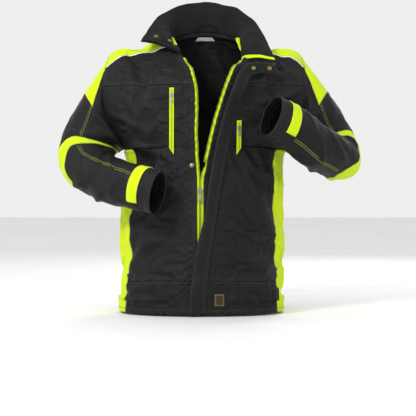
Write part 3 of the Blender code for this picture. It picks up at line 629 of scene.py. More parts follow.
class Skin:
    """A surface of worn cloth: its shape, its simulated creases and its drawn folds."""

    def __init__(self, surface, middle, creases=None, folds=(), steps=(0.4, 0.002), rough=UNEVEN, sign=0):
        self.surface, self.middle, self.creases, self.sign = surface, middle, creases, sign
        self.folds, self.steps, self.rough = list(folds), steps, rough

    def normal(self, first, second):
        a, b = self.steps
        across = self.surface(first + a, second) - self.surface(first - a, second)
        up = self.surface(first, second + b) - self.surface(first, second - b)
        normal = unit(np.cross(across, up))
        if self.sign:
            return normal * self.sign
        points = self.surface(first, second)
        outward = (normal * (points - self.middle(second))).sum(-1).mean() > 0
        return normal if outward else -normal

    def at(self, first, second):
        """Points and outward normals of the worn surface."""
        first, second = np.broadcast_arrays(np.asarray(first, float), np.asarray(second, float))
        base = self.surface(first, second)
        normal = self.normal(first, second)
        height = fold_height(base, self.folds) + self.rough * unevenness(base)
        points = base + normal * height[..., None]
        if self.creases:
            points = points + self.creases(first, second)
        return points, normal


# ---------------------------------------------------------------- making cloth pieces


def graded(length, band=0.011, fine=0.0014, coarse=0.0045):
    """Places from 0 to 1 along a length, closer together near both ends."""
    if length < 2.4 * band:
        return np.linspace(0, 1, max(4, int(length / fine / 1.5)))
    near = np.arange(0.0, band, fine)
    middle = np.linspace(band, length - band, max(2, int((length - 2 * band) / coarse)))
    return np.concatenate((near, middle, length - near[::-1])) / length


def cumulative(points, axis):
    """Arc length along one axis of a grid of points, from 0."""
    steps = np.linalg.norm(np.diff(points, axis=axis), axis=-1)
    start = np.zeros_like(np.take(steps, [0], axis=axis))
    return np.concatenate((start, np.cumsum(steps, axis=axis)), axis=axis)


def grid_normals(points, like, ring):
    if ring:
        across = np.roll(points, -1, 1) - np.roll(points, 1, 1)
    else:
        across = np.gradient(points, axis=1)
    normal = unit(np.cross(across, np.gradient(points, axis=0)))
    return normal if (normal * like).sum() > 0 else -normal


def grid_object(name, points, outward, ring, uv, wear):
    """A mesh object from a grid of points in hem coordinates."""
    faces = grid_faces(*points.shape[:2], ring)
    corner = points.reshape(-1, 3)[faces]
    facing = np.cross(corner[:, 2] - corner[:, 0], corner[:, 3] - corner[:, 1])
    if (facing * outward.reshape(-1, 3)[faces[:, 0]]).sum() < 0:
        faces = faces[:, ::-1]
    mesh = bpy.data.meshes.new(name)
    mesh.from_pydata((points + HEM_ORIGIN).reshape(-1, 3).tolist(), [], faces.tolist())
    layer = mesh.uv_layers.new(name="cloth")
    layer.data.foreach_set("uv", uv.reshape(-1, 2)[faces.ravel()].astype(np.float32).ravel())
    attribute = mesh.attributes.new("wear", "FLOAT", "POINT")
    attribute.data.foreach_set("value", wear.astype(np.float32).ravel())
    mesh.shade_smooth()
    return linked(name, mesh)


BORDER = {"l": (1, False), "r": (1, True), "b": (0, False), "t": (0, True)}


def border_distance(points, border):
    """How far each point of a grid lies from one border: l, r, b or t."""
    axis, far = BORDER[border]
    length = cumulative(points, axis)
    return np.take(length, [-1], axis=axis) - length if far else length


def seam_relief(distance, along):
    """A panel's edge turned under at a seam, with the puckers that its stitching pulls."""
    turned = -SEAM_DEPTH * bump(distance, 0.0015)
    layers = SEAM_RISE * fade(SEAM_ALLOWANCE - distance, 0.0, 0.002)
    pucker = np.sin(along * (2 * math.pi / PUCKER) + 2.5 * np.sin(along * 41.0))
    return turned + layers + PUCKER_HEIGHT * pucker * np.exp(-distance / 0.007)


def thread_runs(points, normals, border, distance):
    """The line on a grid that lies at one distance from a border, and its normals."""
    axis, far = BORDER[border]
    if axis == 0:
        points, normals = points.swapaxes(0, 1), normals.swapaxes(0, 1)
    if far:
        points, normals = points[:, ::-1], normals[:, ::-1]
    length = cumulative(points, 1)
    i = np.clip((length < distance).sum(1) - 1, 0, length.shape[1] - 2)
    row = np.arange(len(i))
    t = (distance - length[row, i]) / np.maximum(length[row, i + 1] - length[row, i], 1e-9)
    t = np.clip(t, 0, 1)[:, None]
    return mix(points[row, i], points[row, i + 1], t), unit(mix(normals[row, i], normals[row, i + 1], t))


THREADS = {}


def sewn(black="", yellow="", tan=""):
    """Rows of stitching by thread, such as "b2 t8.5": a border, and the millimetres from it."""
    every = (("black", black), ("yellow", yellow), ("tan", tan))
    return [(row[0], float(row[1:]) / 1000, thread) for thread, text in every for row in text.split()]


def stitch(line, normals, thread, group="root", trim=0.002):
    """Adds a row of stitches along a line to the thread of a group."""
    length = cumulative(line, 0)
    middles = np.arange(trim + STITCH / 2, length[-1] - trim, STITCH_PITCH)
    if len(middles) < 2:
        return

    def along(values, at):
        return np.stack([np.interp(at, length, values[:, k]) for k in range(3)], -1)

    normal = unit(along(normals, middles))
    way = unit(along(line, middles + STITCH / 2) - along(line, middles - STITCH / 2))
    side = np.cross(way, normal)
    centre = along(line, middles)
    rings = []
    for place, sink, scale in ((-0.5, -0.00035, 0.6), (0.0, 0.00012, 1.0), (0.5, -0.00035, 0.6)):
        middle = centre + way * (place * STITCH) + normal * sink
        for turn in np.radians(np.arange(5) * 72.0):
            away = normal * math.cos(turn) + side * math.sin(turn)
            rings.append(middle + away * (THREAD_RADIUS * scale))
    THREADS.setdefault((thread, group), []).append(np.stack(rings, 1))


def thread_object(thread, group):
    dashes = np.concatenate(THREADS[thread, group])
    ring = np.arange(5)
    faces = []
    for start in (0, 5):
        following = (ring + 1) % 5
        faces.append(start + np.stack((ring, following, following + 5, ring + 5), -1))
    one = np.concatenate(faces)
    every = (one[None] + np.arange(len(dashes))[:, None, None] * 15).reshape(-1, 4)
    name = f"stitching_{thread}_{group}"
    mesh = bpy.data.meshes.new(name)
    mesh.from_pydata((dashes + HEM_ORIGIN).reshape(-1, 3).tolist(), [], every.tolist())
    mesh.shade_smooth()
    return linked(name, mesh)


def cloth(name, skin, chart, size, look, nodes=None, lift=0.0, thickness=SHELL, ring=False,
          seams="", hems="", threads=(), body=ROOT, group="root", fineness=1.0):
    """A sewn piece on a skin.

    chart(u, v) gives its places on the skin, size its rough width and length, seams and hems its
    sewn and its turned borders, and threads its rows of stitching: (border, distance, thread).
    """
    across, along = graded(size[0], coarse=0.0045 * fineness), graded(size[1], coarse=0.0045 * fineness)
    if ring:
        across = np.arange(int(size[0] / (0.0045 * fineness))) / int(size[0] / (0.0045 * fineness))
    u, v = np.meshgrid(across, along)
    first, second = chart(u, v)
    base = skin.surface(first, second)
    points, normals = skin.at(first, second)
    height = np.full(u.shape, 0.0) + (lift(u, v) if callable(lift) else lift)
    wear = np.zeros(u.shape)
    for border in seams:
        distance = border_distance(base, border)
        height = height + seam_relief(distance, cumulative(base, 1 - BORDER[border][0]))
        wear = np.maximum(wear, np.exp(-distance / 0.004))
    for border in hems:
        distance = border_distance(base, border)
        height = height - 0.0010 * bump(distance, 0.0011) + 0.0006 * fade(0.012 - distance, 0, 0.002)
        wear = np.maximum(wear, 0.8 * np.exp(-distance / 0.003))
    points = points + normals * height[..., None]
    normals = grid_normals(points, normals, ring)
    uv = np.stack((cumulative(base, 1), cumulative(base, 0)), -1)
    obj = grid_object(name, points, normals, ring, uv, wear)
    for border, distance, thread in threads:
        line, upright = thread_runs(points, normals, border, distance)
        if ring and BORDER[border][0] == 0:
            line, upright = np.vstack((line, line[:1])), np.vstack((upright, upright[:1]))
        stitch(line, upright, thread, group)
    solid = obj.modifiers.new("thickness", "SOLIDIFY")
    solid.thickness = thickness
    solid.offset = -1.0
    obj.data.materials.append(look)
    obj.name = f"{name}_cloth"
    if body:
        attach(obj, body)
    nodes = (name,) if nodes is None else nodes
    if nodes:
        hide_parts(*nodes)
    declare_sheet(base, ring)
    return obj


def declare_sheet(base, ring):
    """Works out the cloth's cut size, its usual width and length and its area, and keeps none of them."""
    closed = np.concatenate((base, base[:, :1]), 1) if ring else base
    width = float(np.percentile(cumulative(closed, 1)[:, -1], 70))
    length = float(np.percentile(cumulative(closed, 0)[-1], 70))
    across, up = np.diff(closed, axis=1)[:-1], np.diff(closed, axis=0)[:, :-1]
    area = np.linalg.norm(np.cross(across, up), axis=-1).sum()
    area = float(min(max(area, 0.31 * width * length), width * length))


# ---------------------------------------------------------------- materials

BLACK, BLACK_WORN = (0.0040, 0.0040, 0.0045), (0.032, 0.032, 0.035)
YELLOW, YELLOW_DEEP = (0.66, 0.82, 0.004), (0.50, 0.68, 0.002)
YELLOW_WORN = (0.78, 0.88, 0.10)


class Look:
    """A material made from nodes."""

    def __init__(self, name, roughness=0.8, metallic=0.0, sheen=0.0, gloss=0.5):
        self.material = bpy.data.materials.new(name)
        self.material.use_nodes = True
        self.tree = self.material.node_tree
        self.shader = self.tree.nodes["Principled BSDF"]
        self.shader.inputs["Roughness"].default_value = roughness
        self.shader.inputs["Metallic"].default_value = metallic
        self.shader.inputs["Sheen Weight"].default_value = sheen
        self.shader.inputs["Sheen Roughness"].default_value = 0.5
        self.shader.inputs["Specular IOR Level"].default_value = gloss
        self.places = self.add("ShaderNodeTexCoord")

    def add(self, kind, settings=(), **inputs):
        node = self.tree.nodes.new(kind)
        for key, value in dict(settings).items():
            setattr(node, key, value)
        for key, value in inputs.items():
            self.feed(node.inputs[key.replace("_", " ")], value)
        return node

    def feed(self, socket, value):
        if isinstance(value, bpy.types.NodeSocket):
            self.tree.links.new(value, socket)
        else:
            socket.default_value = value

    def noise(self, scale, detail=3.0):
        place = self.places.outputs["Object"]
        return self.add("ShaderNodeTexNoise", Vector=place, Scale=scale, Detail=detail).outputs["Fac"]

    def ramp(self, value, low, high, start, end):
        """value from low to high, turned into start to end."""
        node = self.add("ShaderNodeMapRange", Value=value)
        for key, number in zip(("From Min", "From Max", "To Min", "To Max"), (low, high, start, end)):
            node.inputs[key].default_value = number
        return node.outputs["Result"]

    def blend(self, factor, a, b):
        node = self.tree.nodes.new("ShaderNodeMix")
        node.data_type = "RGBA"
        self.feed(node.inputs[0], factor)
        for socket, colour in ((node.inputs[6], a), (node.inputs[7], b)):
            self.feed(socket, colour if isinstance(colour, bpy.types.NodeSocket) else (*colour, 1.0))
        return node.outputs[2]

    def maths(self, operation, a, b):
        node = self.tree.nodes.new("ShaderNodeMath")
        node.operation = operation
        self.feed(node.inputs[0], a)
        self.feed(node.inputs[1], b)
        return node.outputs[0]

    def relief(self, *layers):
        """Bump layers, each (height socket, distance in metres, strength)."""
        normal = None
        for height, distance, strength in layers:
            node = self.add("ShaderNodeBump", Height=height, Distance=distance, Strength=strength)
            if normal:
                self.feed(node.inputs["Normal"], normal)
            normal = node.outputs["Normal"]
        self.feed(self.shader.inputs["Normal"], normal)

    def colour(self, value):
        self.feed(self.shader.inputs["Base Color"], value)

    def rough(self, value):
        self.feed(self.shader.inputs["Roughness"], value)


def woven(name, dark, light, worn, pitch, sheen, roughness):
    """A twill: diagonal ribs, uneven dye, soft crumpling and paler, rubbed seams."""
    look = Look(name, sheen=sheen, gloss=0.18)
    ribs = look.add("ShaderNodeTexWave", dict(wave_type="BANDS", bands_direction="DIAGONAL"),
                    Vector=look.places.outputs["UV"], Scale=0.628 / pitch, Distortion=0.6,
                    Detail=1.0, Detail_Scale=2.0).outputs["Fac"]
    yarn = look.noise(1400.0, 2.0)
    cloud, patch, crumple = look.noise(5.0), look.noise(32.0), look.noise(95.0, 5.0)
    tone = look.maths("ADD", look.maths("MULTIPLY", ribs, 0.35), look.maths("MULTIPLY", cloud, 0.45))
    tone = look.maths("ADD", tone, look.maths("MULTIPLY", yarn, 0.25))
    colour = look.blend(look.ramp(tone, 0.25, 0.85, 0.0, 1.0), dark, light)
    rubbed = look.add("ShaderNodeAttribute", dict(attribute_name="wear")).outputs["Fac"]
    rubbed = look.maths("MULTIPLY", rubbed, look.ramp(patch, 0.35, 0.65, 0.15, 0.75))
    rubbed = look.maths("MULTIPLY", rubbed, 0.55)
    look.colour(look.blend(rubbed, colour, worn))
    look.rough(look.ramp(patch, 0.3, 0.7, roughness - 0.08, roughness + 0.08))
    look.relief((crumple, 0.0012, 0.30), (patch, 0.0030, 0.25), (ribs, 0.00022, 0.55), (yarn, 0.0001, 0.4))
    return look.material


def plain(name, dark, light, roughness, metallic=0.0, grain=300.0, depth=0.0002, strength=0.3):
    """A hard or thread material whose colour, gloss and surface vary a little."""
    look = Look(name, metallic=metallic)
    fine, broad = look.noise(grain, 3.0), look.noise(grain / 9, 2.0)
    tone = look.maths("ADD", look.maths("MULTIPLY", fine, 0.5), look.maths("MULTIPLY", broad, 0.5))
    look.colour(look.blend(look.ramp(tone, 0.35, 0.65, 0.0, 1.0), dark, light))
    look.rough(look.ramp(broad, 0.3, 0.7, roughness - 0.08, roughness + 0.10))
    look.relief((fine, depth, strength))
    return look.material


def reflective(name):
    """Silver piping of fine glass beads."""
    look = Look(name, metallic=0.55)
    place = look.places.outputs["Object"]
    beads = look.add("ShaderNodeTexVoronoi", Vector=place, Scale=900.0).outputs["Distance"]
    cloud = look.noise(60.0)
    look.colour(look.blend(look.ramp(cloud, 0.35, 0.65, 0.0, 1.0), (0.62, 0.64, 0.65), (0.82, 0.84, 0.84)))
    look.rough(look.ramp(cloud, 0.3, 0.7, 0.30, 0.45))
    look.relief((beads, 0.0002, 0.5))
    return look.material


TWILL = woven("black twill", BLACK, (0.0115, 0.0115, 0.0128), BLACK_WORN, 0.0011, 0.015, 0.55)
LINING = woven("black lining", (0.006, 0.006, 0.007), (0.012, 0.012, 0.013), BLACK_WORN, 0.0009, 0.02, 0.85)
HIVIS = woven("yellow twill", YELLOW_DEEP, YELLOW, YELLOW_WORN, 0.0009, 0.06, 0.78)
TAPE = woven("yellow zip tape", YELLOW_DEEP, YELLOW, YELLOW_WORN, 0.0008, 0.05, 0.75)
WEBBING = woven("black loop tape", BLACK, (0.022, 0.022, 0.024), BLACK_WORN, 0.0012, 0.03, 0.8)
LABEL = woven("woven label", (0.020, 0.016, 0.008), (0.060, 0.048, 0.022), (0.12, 0.09, 0.04), 0.0006, 0.1,
              0.7)
TAN_THREAD = plain("tan thread", (0.30, 0.19, 0.06), (0.48, 0.33, 0.12), 0.55, grain=1500.0)
COIL = plain("yellow zip teeth", (0.30, 0.40, 0.01), (0.46, 0.58, 0.02), 0.45, grain=700.0)
SIZE_LABEL = woven("white label", (0.62, 0.62, 0.60), (0.78, 0.78, 0.76), (0.85, 0.85, 0.84), 0.0006,
                   0.1, 0.7)
PIPING = reflective("reflective piping")
BLACK_THREAD = plain("black thread", (0.020, 0.020, 0.022), (0.055, 0.055, 0.060), 0.55, grain=1500.0)
YELLOW_THREAD = plain("yellow thread", (0.45, 0.60, 0.02), (0.66, 0.80, 0.05), 0.55, grain=1500.0)
NICKEL = plain("dark nickel", (0.20, 0.20, 0.21), (0.42, 0.42, 0.43), 0.34, metallic=1.0,
               grain=500.0, depth=0.0001)
BRASS = plain("antique brass", (0.15, 0.10, 0.05), (0.40, 0.28, 0.14), 0.36, metallic=1.0,
              grain=400.0, depth=0.0001)
FLOOR = plain("pale floor", (0.80, 0.80, 0.80), (0.86, 0.86, 0.86), 0.85, grain=9.0,
              depth=0.001, strength=0.05)


# ---------------------------------------------------------------- the worn skins


def body_share(angle, height):
    """Where an angle lies from the left front edge (0) round the back to the right one (1)."""
    left = edge_angle(front_edge(1, height), height)
    right = -edge_angle(front_edge(-1, height), height)
    return (np.asarray(angle, float) % 360.0 - left) / (BACK_ANGLE - left - right)


def body_at_share(share, height):
    left = edge_angle(front_edge(1, height), height)
    right = -edge_angle(front_edge(-1, height), height)
    return whole_body(left + share * (BACK_ANGLE - left - right), height)


def body_hold(share, height):
    """How firmly the body keeps its shape: fully at the neck, armholes, chain and zips."""
    share, height = np.broadcast_arrays(share, height)
    points = body_at_share(share, height)
    x, y = points[..., 0], points[..., 1]
    away = np.hypot((np.abs(x) - 0.285) / 0.060, (height - ARMHOLE_HEIGHT) / (ARMHOLE_HALF + 0.012))
    armhole = 1 - fade(away, 0.9, 1.5)
    edges = 1 - fade(np.minimum(share, 1 - share), 0.0, 0.06)
    chain = edges * (1 - fade(height, 0.33, 0.40))
    neck = fade(height, 0.80, 0.87)
    zips = (y < 0) * bump(np.abs(x) - POCKET_ZIP_X, 0.020) * fade(height, 0.36, 0.42)
    zips = zips * (1 - fade(height, 0.60, 0.64))
    hem = 0.60 * (1 - fade(height, 0.0, 0.05))
    hold = np.maximum.reduce([armhole, 0.5 * edges, chain, neck, 0.7 * zips, hem])
    return np.clip(0.10 + hold, 0.0, 1.0)


def sleeve_hold(turn, at):
    ends = np.maximum(1 - fade(at, 0.0, 0.30), fade(at, 5.1, 5.6))
    return np.clip(0.11 + ends + 0 * turn, 0.0, 1.0)


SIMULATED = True
bpy.context.scene.gravity = (0.0, 0.0, -9.81)


def body_creases():
    if not SIMULATED:
        return None
    shares = np.linspace(0.0, 1.0, 150)
    heights = np.linspace(0.0, NECK, 96)
    creases = Creases("body", body_at_share, shares, heights, False, 0.050, body_hold, 0.017)
    return lambda angle, height: creases.at(body_share(angle, height), height)


def sleeve_creases(side):
    if not SIMULATED:
        return None
    turns, places = np.arange(0.0, 360.0, 5.5384615), np.linspace(0.0, 6.0, 104)
    creases = Creases("sleeve", sleeve_surface(side), turns, places, True, 0.075, sleeve_hold, 0.018)
    return creases.at


# Drawn folds: (places as (angle, height) or (turn, section), height, half width).
BODY_FOLDS = (
    (((-64, 0.455), (-44, 0.430), (-20, 0.405)), 0.0060, 0.014),
    (((-60, 0.395), (-38, 0.360), (-12, 0.352)), 0.0050, 0.013),
    (((-62, 0.520), (-48, 0.505), (-34, 0.470)), 0.0045, 0.011),
    (((-58, 0.665), (-48, 0.625), (-36, 0.606)), 0.0040, 0.011),
    (((-58, 0.280), (-35, 0.262), (-14, 0.275)), 0.0040, 0.014),
    (((-52, 0.175), (-30, 0.190), (-12, 0.180)), 0.0030, 0.013),
    (((-15, 0.560), (-11, 0.548), (-8, 0.552)), 0.0022, 0.006),
    (((-16, 0.520), (-11, 0.512), (-7.5, 0.515)), 0.0024, 0.006),
    (((-16, 0.483), (-11, 0.473), (-7, 0.478)), 0.0026, 0.006),
    (((-16, 0.440), (-11, 0.434), (-7, 0.440)), 0.0024, 0.006),
    (((20, 0.545), (38, 0.560), (56, 0.590)), 0.0055, 0.011),
    (((22, 0.520), (40, 0.515), (60, 0.530)), 0.0050, 0.011),
    (((24, 0.480), (42, 0.455), (62, 0.450)), 0.0055, 0.012),
    (((22, 0.430), (38, 0.380), (58, 0.360)), 0.0055, 0.013),
    (((18, 0.380), (30, 0.310), (50, 0.270)), 0.0050, 0.014),
    (((16, 0.250), (30, 0.215), (52, 0.205)), 0.0040, 0.014),
    (((14, 0.170), (28, 0.140), (50, 0.150)), 0.0030, 0.012),
    (((24, 0.640), (38, 0.625), (54, 0.640)), 0.0040, 0.010),
    (((36, 0.078), (37, 0.045), (36, 0.010)), 0.0026, 0.006),
    (((43, 0.078), (44, 0.045), (43, 0.010)), 0.0028, 0.006),
    (((50, 0.078), (50, 0.045), (51, 0.010)), 0.0026, 0.006),
    (((57, 0.078), (58, 0.045), (57, 0.010)), 0.0024, 0.006),
    (((-50, 0.078), (-51, 0.045), (-50, 0.012)), 0.0020, 0.007),
    (((115, 0.330), (150, 0.300), (185, 0.310)), 0.0060, 0.017),
    (((245, 0.350), (215, 0.315), (180, 0.335)), 0.0055, 0.016),
    (((120, 0.220), (160, 0.240), (200, 0.225)), 0.0050, 0.017),
    (((118, 0.480), (140, 0.450), (165, 0.440)), 0.0060, 0.015),
    (((242, 0.480), (220, 0.452), (195, 0.445)), 0.0060, 0.015),
    (((128, 0.620), (150, 0.590), (170, 0.585)), 0.0040, 0.015),
    (((232, 0.620), (210, 0.592), (190, 0.580)), 0.0040, 0.015),
)
SLEEVE_FOLDS = (
    (((150, 0.35), (110, 0.80), (60, 1.15)), 0.0060, 0.010),
    (((165, 0.55), (130, 1.10), (85, 1.50)), 0.0060, 0.011),
    (((120, 1.55), (80, 1.80), (30, 1.95)), 0.0050, 0.010),
    (((200, 0.60), (240, 1.10), (280, 1.40)), 0.0055, 0.011),
    (((170, 1.50), (215, 1.75), (260, 1.90)), 0.0050, 0.010),
    (((60, 2.30), (30, 2.55), (-5, 2.75)), 0.0045, 0.009),
    (((120, 2.45), (80, 2.75), (40, 3.10)), 0.0060, 0.010),
    (((130, 2.85), (90, 3.20), (40, 3.55)), 0.0060, 0.010),
    (((150, 3.25), (110, 3.60), (60, 3.95)), 0.0050, 0.009),
    (((-40, 3.35), (-10, 3.75), (40, 4.20)), 0.0050, 0.010),
    (((-80, 3.75), (-50, 4.10), (0, 4.55)), 0.0045, 0.009),
    (((120, 3.95), (90, 4.25), (40, 4.70)), 0.0045, 0.009),
    (((180, 2.70), (220, 3.05), (260, 3.30)), 0.0050, 0.010),
    (((190, 3.40), (230, 3.75), (270, 4.00)), 0.0045, 0.010),
    (((-20, 4.60), (20, 4.90), (60, 5.10)), 0.0030, 0.008),
    (((150, 4.50), (190, 4.85), (230, 5.05)), 0.0030, 0.008),
)


FOLD_STRENGTH = 1.9


def folds_on(surface, table):
    return [(line_on(surface, places), FOLD_STRENGTH * height, width) for places, height, width in table]


BODY_CREASES = body_creases()
BODY_DRAWN = folds_on(whole_body, BODY_FOLDS)


BODY_SKIN = Skin(whole_body, None, BODY_CREASES, BODY_DRAWN, sign=1)


def sleeve_skin(side):
    surface = sleeve_surface(side)

    def middle(at):
        around = np.arange(0.0, 360.0, 30.0)
        ring = surface(around[:, None], np.full((1, 1), float(np.mean(at))))
        return ring.reshape(-1, 3).mean(0)

    return Skin(surface, middle, sleeve_creases(side), folds_on(surface, SLEEVE_FOLDS), (1.0, 0.02))


# ---------------------------------------------------------------- body panels


def build_back():
    """The back panel and its hem band."""
    def back_chart(low, high):
        def chart(u, v):
            height = mix(low, high, v)
            outer = back_outer_angle(height) + SEAM_GAP_ANGLE
            return mix(outer, BACK_ANGLE - outer, u), height
        return chart

    seam = HEM_TOP + SEAM_GAP_HEIGHT
    threads = sewn("b2 b8 l2 r2")
    cloth("back_panel", BODY_SKIN, back_chart(seam, NECK - 0.0005), (0.50, 0.68), TWILL,
          seams="lrbt", threads=threads)
    threads = sewn("b10 b11.5 t2")
    cloth("back_hem_band", BODY_SKIN, back_chart(0.0, HEM_TOP - SEAM_GAP_HEIGHT), (0.44, 0.086), TWILL,
          seams="lrt", hems="b", threads=threads)


def build_front(side, word):
    """One front: its hem band, its panel and the chest yoke."""
    def front_chart(low, high):
        def chart(u, v):
            height = mix(low, high, v)
            inner = side * edge_angle(front_edge(side, height), height) + SEAM_GAP_ANGLE
            return side * mix(inner, front_outer_angle(height) - SEAM_GAP_ANGLE, u), height
        return chart

    gap = SEAM_GAP_HEIGHT
    edge = "l3 l12" if side > 0 else "l3 l9"
    cloth(f"front_hem_band_{word}", BODY_SKIN, front_chart(0.0, HEM_TOP - gap), (0.26, 0.086), TWILL,
          seams="rt", hems="bl", threads=sewn("b10 b11.5 t2 " + edge))
    threads = sewn("b2 b8 r2 r8 " + edge)
    cloth(f"front_panel_{word}", BODY_SKIN, front_chart(HEM_TOP + gap, YOKE_SEAM - gap), (0.27, 0.51),
          TWILL, seams="rbt", hems="l", threads=threads, fineness=0.8)
    cloth(f"chest_yoke_{word}", BODY_SKIN, front_chart(YOKE_SEAM + gap, NECK - 0.0005), (0.24, 0.24), TWILL,
          seams="rbt", hems="l", threads=threads)


def build_side(side, word):
    """The yellow side panel."""
    def chart(u, v):
        height = mix(0.0, ARMPIT - 0.001, v)
        inner = curve(SIDE_FRONT, height) + SEAM_GAP_ANGLE
        return side * mix(inner, SIDE_BACK - SEAM_GAP_ANGLE, u), height

    threads = sewn("b10 b11.5 l2 r2")
    cloth(f"side_panel_{word}", BODY_SKIN, chart, (0.14, 0.43), HIVIS, seams="lrt", hems="b",
          threads=threads)


def build_shoulder(side, word):
    """The yellow shoulder panel and the reflective piping on its front seam."""
    front_start, _ = shoulder_seam_start()
    back_start, _ = shoulder_seam_start(back=True)
    top = NECK - 0.0005

    def seam_shift(start, v, back):
        low = armhole_height(start)
        seam_top = shoulder_seam_angle(top, back)
        return shoulder_seam_angle(mix(low, top, v), back) - mix(start, seam_top, v)

    def chart(u, v):
        inner = mix(0.004, 0.996, u)
        start = mix(front_start, back_start, inner)
        end = mix(shoulder_seam_angle(top), shoulder_seam_angle(top, back=True), inner)
        angle = mix(start, end, v) + (1 - u) * seam_shift(front_start, v, False)
        angle = angle + u * seam_shift(back_start, v, True)
        return side * angle, mix(armhole_height(start) + SEAM_GAP_HEIGHT, top, v)

    threads = sewn("b2 b8 r2 l4")
    panel = cloth(f"shoulder_panel_{word}", BODY_SKIN, chart, (0.13, 0.20), HIVIS, seams="lrbt",
                  threads=threads)
    panel.data.materials.append(LINING)
    panel.modifiers["thickness"].material_offset = 1

    def piping_chart(u, v):
        height = mix(shoulder_seam_start()[1] + 0.001, NECK - 0.045, v)
        return side * (shoulder_seam_angle(height) + mix(-1.9, -0.1, u)), height

    def rounded(u, v):
        return 0.0006 + 0.0022 * np.sin(math.pi * np.clip(u, 0.02, 0.98)) ** 0.6

    cloth(f"shoulder_piping_{word}", BODY_SKIN, piping_chart, (0.007, 0.19), PIPING, lift=rounded,
          thickness=TRIM)


def build_facings():
    """The inner facings along the front edges and the back of the neck."""
    for side, word in ((-1, "right"), (1, "left")):
        def chart(u, v, side=side):
            height = mix(0.010, ZIP_TOP, v)
            x = front_edge(side, height) + side * mix(0.002, FACING_WIDE, u)
            return edge_angle(x, height), height

        cloth(f"front_facing_{word}", BODY_SKIN, chart, (0.043, 0.72), LINING, lift=-0.0050,
              thickness=0.0010, hems="r", threads=())

    def neck_chart(u, v):
        return mix(108.0, BACK_ANGLE - 108.0, u), mix(0.805, 0.876, v)

    cloth("back_neck_facing", BODY_SKIN, neck_chart, (0.20, 0.05), LINING, lift=-0.0036,
          thickness=0.0010, hems="b")


def surface_rows(skin, places, threads, spacing, count=160):
    """Rows of stitching along a path of places on a skin."""
    table = [(i, *place) for i, place in enumerate(places)]
    at = smooth(table, np.linspace(0, len(places) - 1, count))
    points, normals = skin.at(at[:, 0], at[:, 1])
    way = unit(np.gradient(points, axis=0))
    side = np.cross(way, normals)
    for i, thread in enumerate(threads):
        stitch(points + side * (spacing * i) + normals * ROW_LIFT, normals, thread)


def build_pocket_outline(side):
    """The pocket bag sewn through the front: an outer side and a lower side in two rows each."""
    bottom, top = POCKET_ZIP_LOW - 0.012, YOKE_SEAM - 0.010
    outer, inner = side * 0.176, side * 0.102
    corners = ((outer, top), (outer, bottom + 0.022), (outer - side * 0.018, bottom),
               (inner, bottom - 0.004))
    for start, end in zip(corners, corners[1:]):
        places = [(edge_angle(start[0], start[1]), start[1]), (edge_angle(end[0], end[1]), end[1])]
        surface_rows(BODY_SKIN, places, ("black", "black"), spacing=-0.006 * side, count=60)


# ---------------------------------------------------------------- sleeves


def build_sleeve(side, word):
    """One sleeve: head, outer and inner sleeve, elbow panel, forearm, cuff and cuff band."""
    skin = sleeve_skin(side)
    tip = elbow_turn(side)

    def seam(at):
        return curve(SLEEVE_SEAM, at)

    def upper(turn):
        return curve(ELBOW_UPPER, np.abs(wrap(turn - tip)))

    def lower(turn):
        return curve(ELBOW_LOWER, np.abs(wrap(turn - tip)))

    gap = 0.001
    quarter = 0.30

    def head_chart(u, v):
        at = mix(-0.004, HEAD_END - gap, v)
        edge = seam(at) - 0.3
        return mix(-edge, edge, u), at

    threads = sewn("b6 b11 t2 l2 r2")
    cloth(f"sleeve_head_{word}", skin, head_chart, (0.22, 0.15), HIVIS, seams="lrbt", threads=threads)

    def outer_chart(u, v):
        edge = seam(HEAD_END)
        at = mix(HEAD_END + gap, upper(mix(-edge, edge, u)) - gap, v)
        edge = seam(at) - 0.1
        return mix(-edge, edge, u), at

    threads = sewn("b2 b8 t2", yellow="l3 l8.5 r3 r8.5")
    cloth(f"outer_sleeve_{word}", skin, outer_chart, (quarter, 0.20), TWILL, seams="lrbt", threads=threads)

    def inner_chart(u, v):
        edge = seam(2.0)
        at = mix(-0.004, upper(mix(edge, 360.0 - edge, u)) - gap, v)
        edge = seam(at) + 0.1
        return mix(edge, 360.0 - edge, u), at

    cloth(f"inner_sleeve_{word}", skin, inner_chart, (quarter, 0.26), TWILL, seams="lrbt",
          threads=sewn("b2 t2"))

    def ring_chart(low, high):
        def chart(u, v):
            turn = 360.0 * u
            return turn, mix(low(turn), high(turn), v)
        return chart

    cloth(f"elbow_panel_{word}", skin, ring_chart(lambda t: upper(t) + gap, lambda t: lower(t) - gap),
          (0.46, 0.06), HIVIS, ring=True, seams="bt",
          threads=sewn("b2 t2"))
    threads = sewn("b2 b8 t2")
    cloth(f"forearm_{word}", skin, ring_chart(lambda t: lower(t) + gap, lambda t: CUFF_START - gap + 0 * t),
          (0.42, 0.20), TWILL, ring=True, seams="bt", threads=threads)
    cloth(f"cuff_{word}", skin, ring_chart(lambda t: CUFF_START + gap + 0 * t, lambda t: 6.0 + 0 * t),
          (0.32, 0.032), TWILL, ring=True, seams="b", hems="t", thickness=0.0026,
          threads=sewn("b2 t4 t12"))
    for turn in (66.0, -66.0):
        path = ((turn, float(lower(turn)) + 0.08), (turn * 0.95, 4.4), (turn * 0.9, CUFF_BAND[0] - 0.04))
        surface_rows(skin, path, ("yellow", "yellow"), spacing=0.0055)
    tops = skin.surface(np.arange(-180.0, 180.0, 5.0), np.full(72, CUFF_BAND[0]))
    top = -180.0 + 5.0 * int(tops[:, 2].argmax())

    def band_chart(u, v):
        return top + mix(-CUFF_BAND_HALF, CUFF_BAND_HALF, u), mix(*CUFF_BAND, v)

    cloth(f"cuff_band_{word}", skin, band_chart, (0.22, 0.032), HIVIS, lift=0.0022, thickness=TRIM,
          hems="lrbt", threads=sewn(yellow="l2.2 r2.2 b2.2 t2.2"))


# ---------------------------------------------------------------- collar


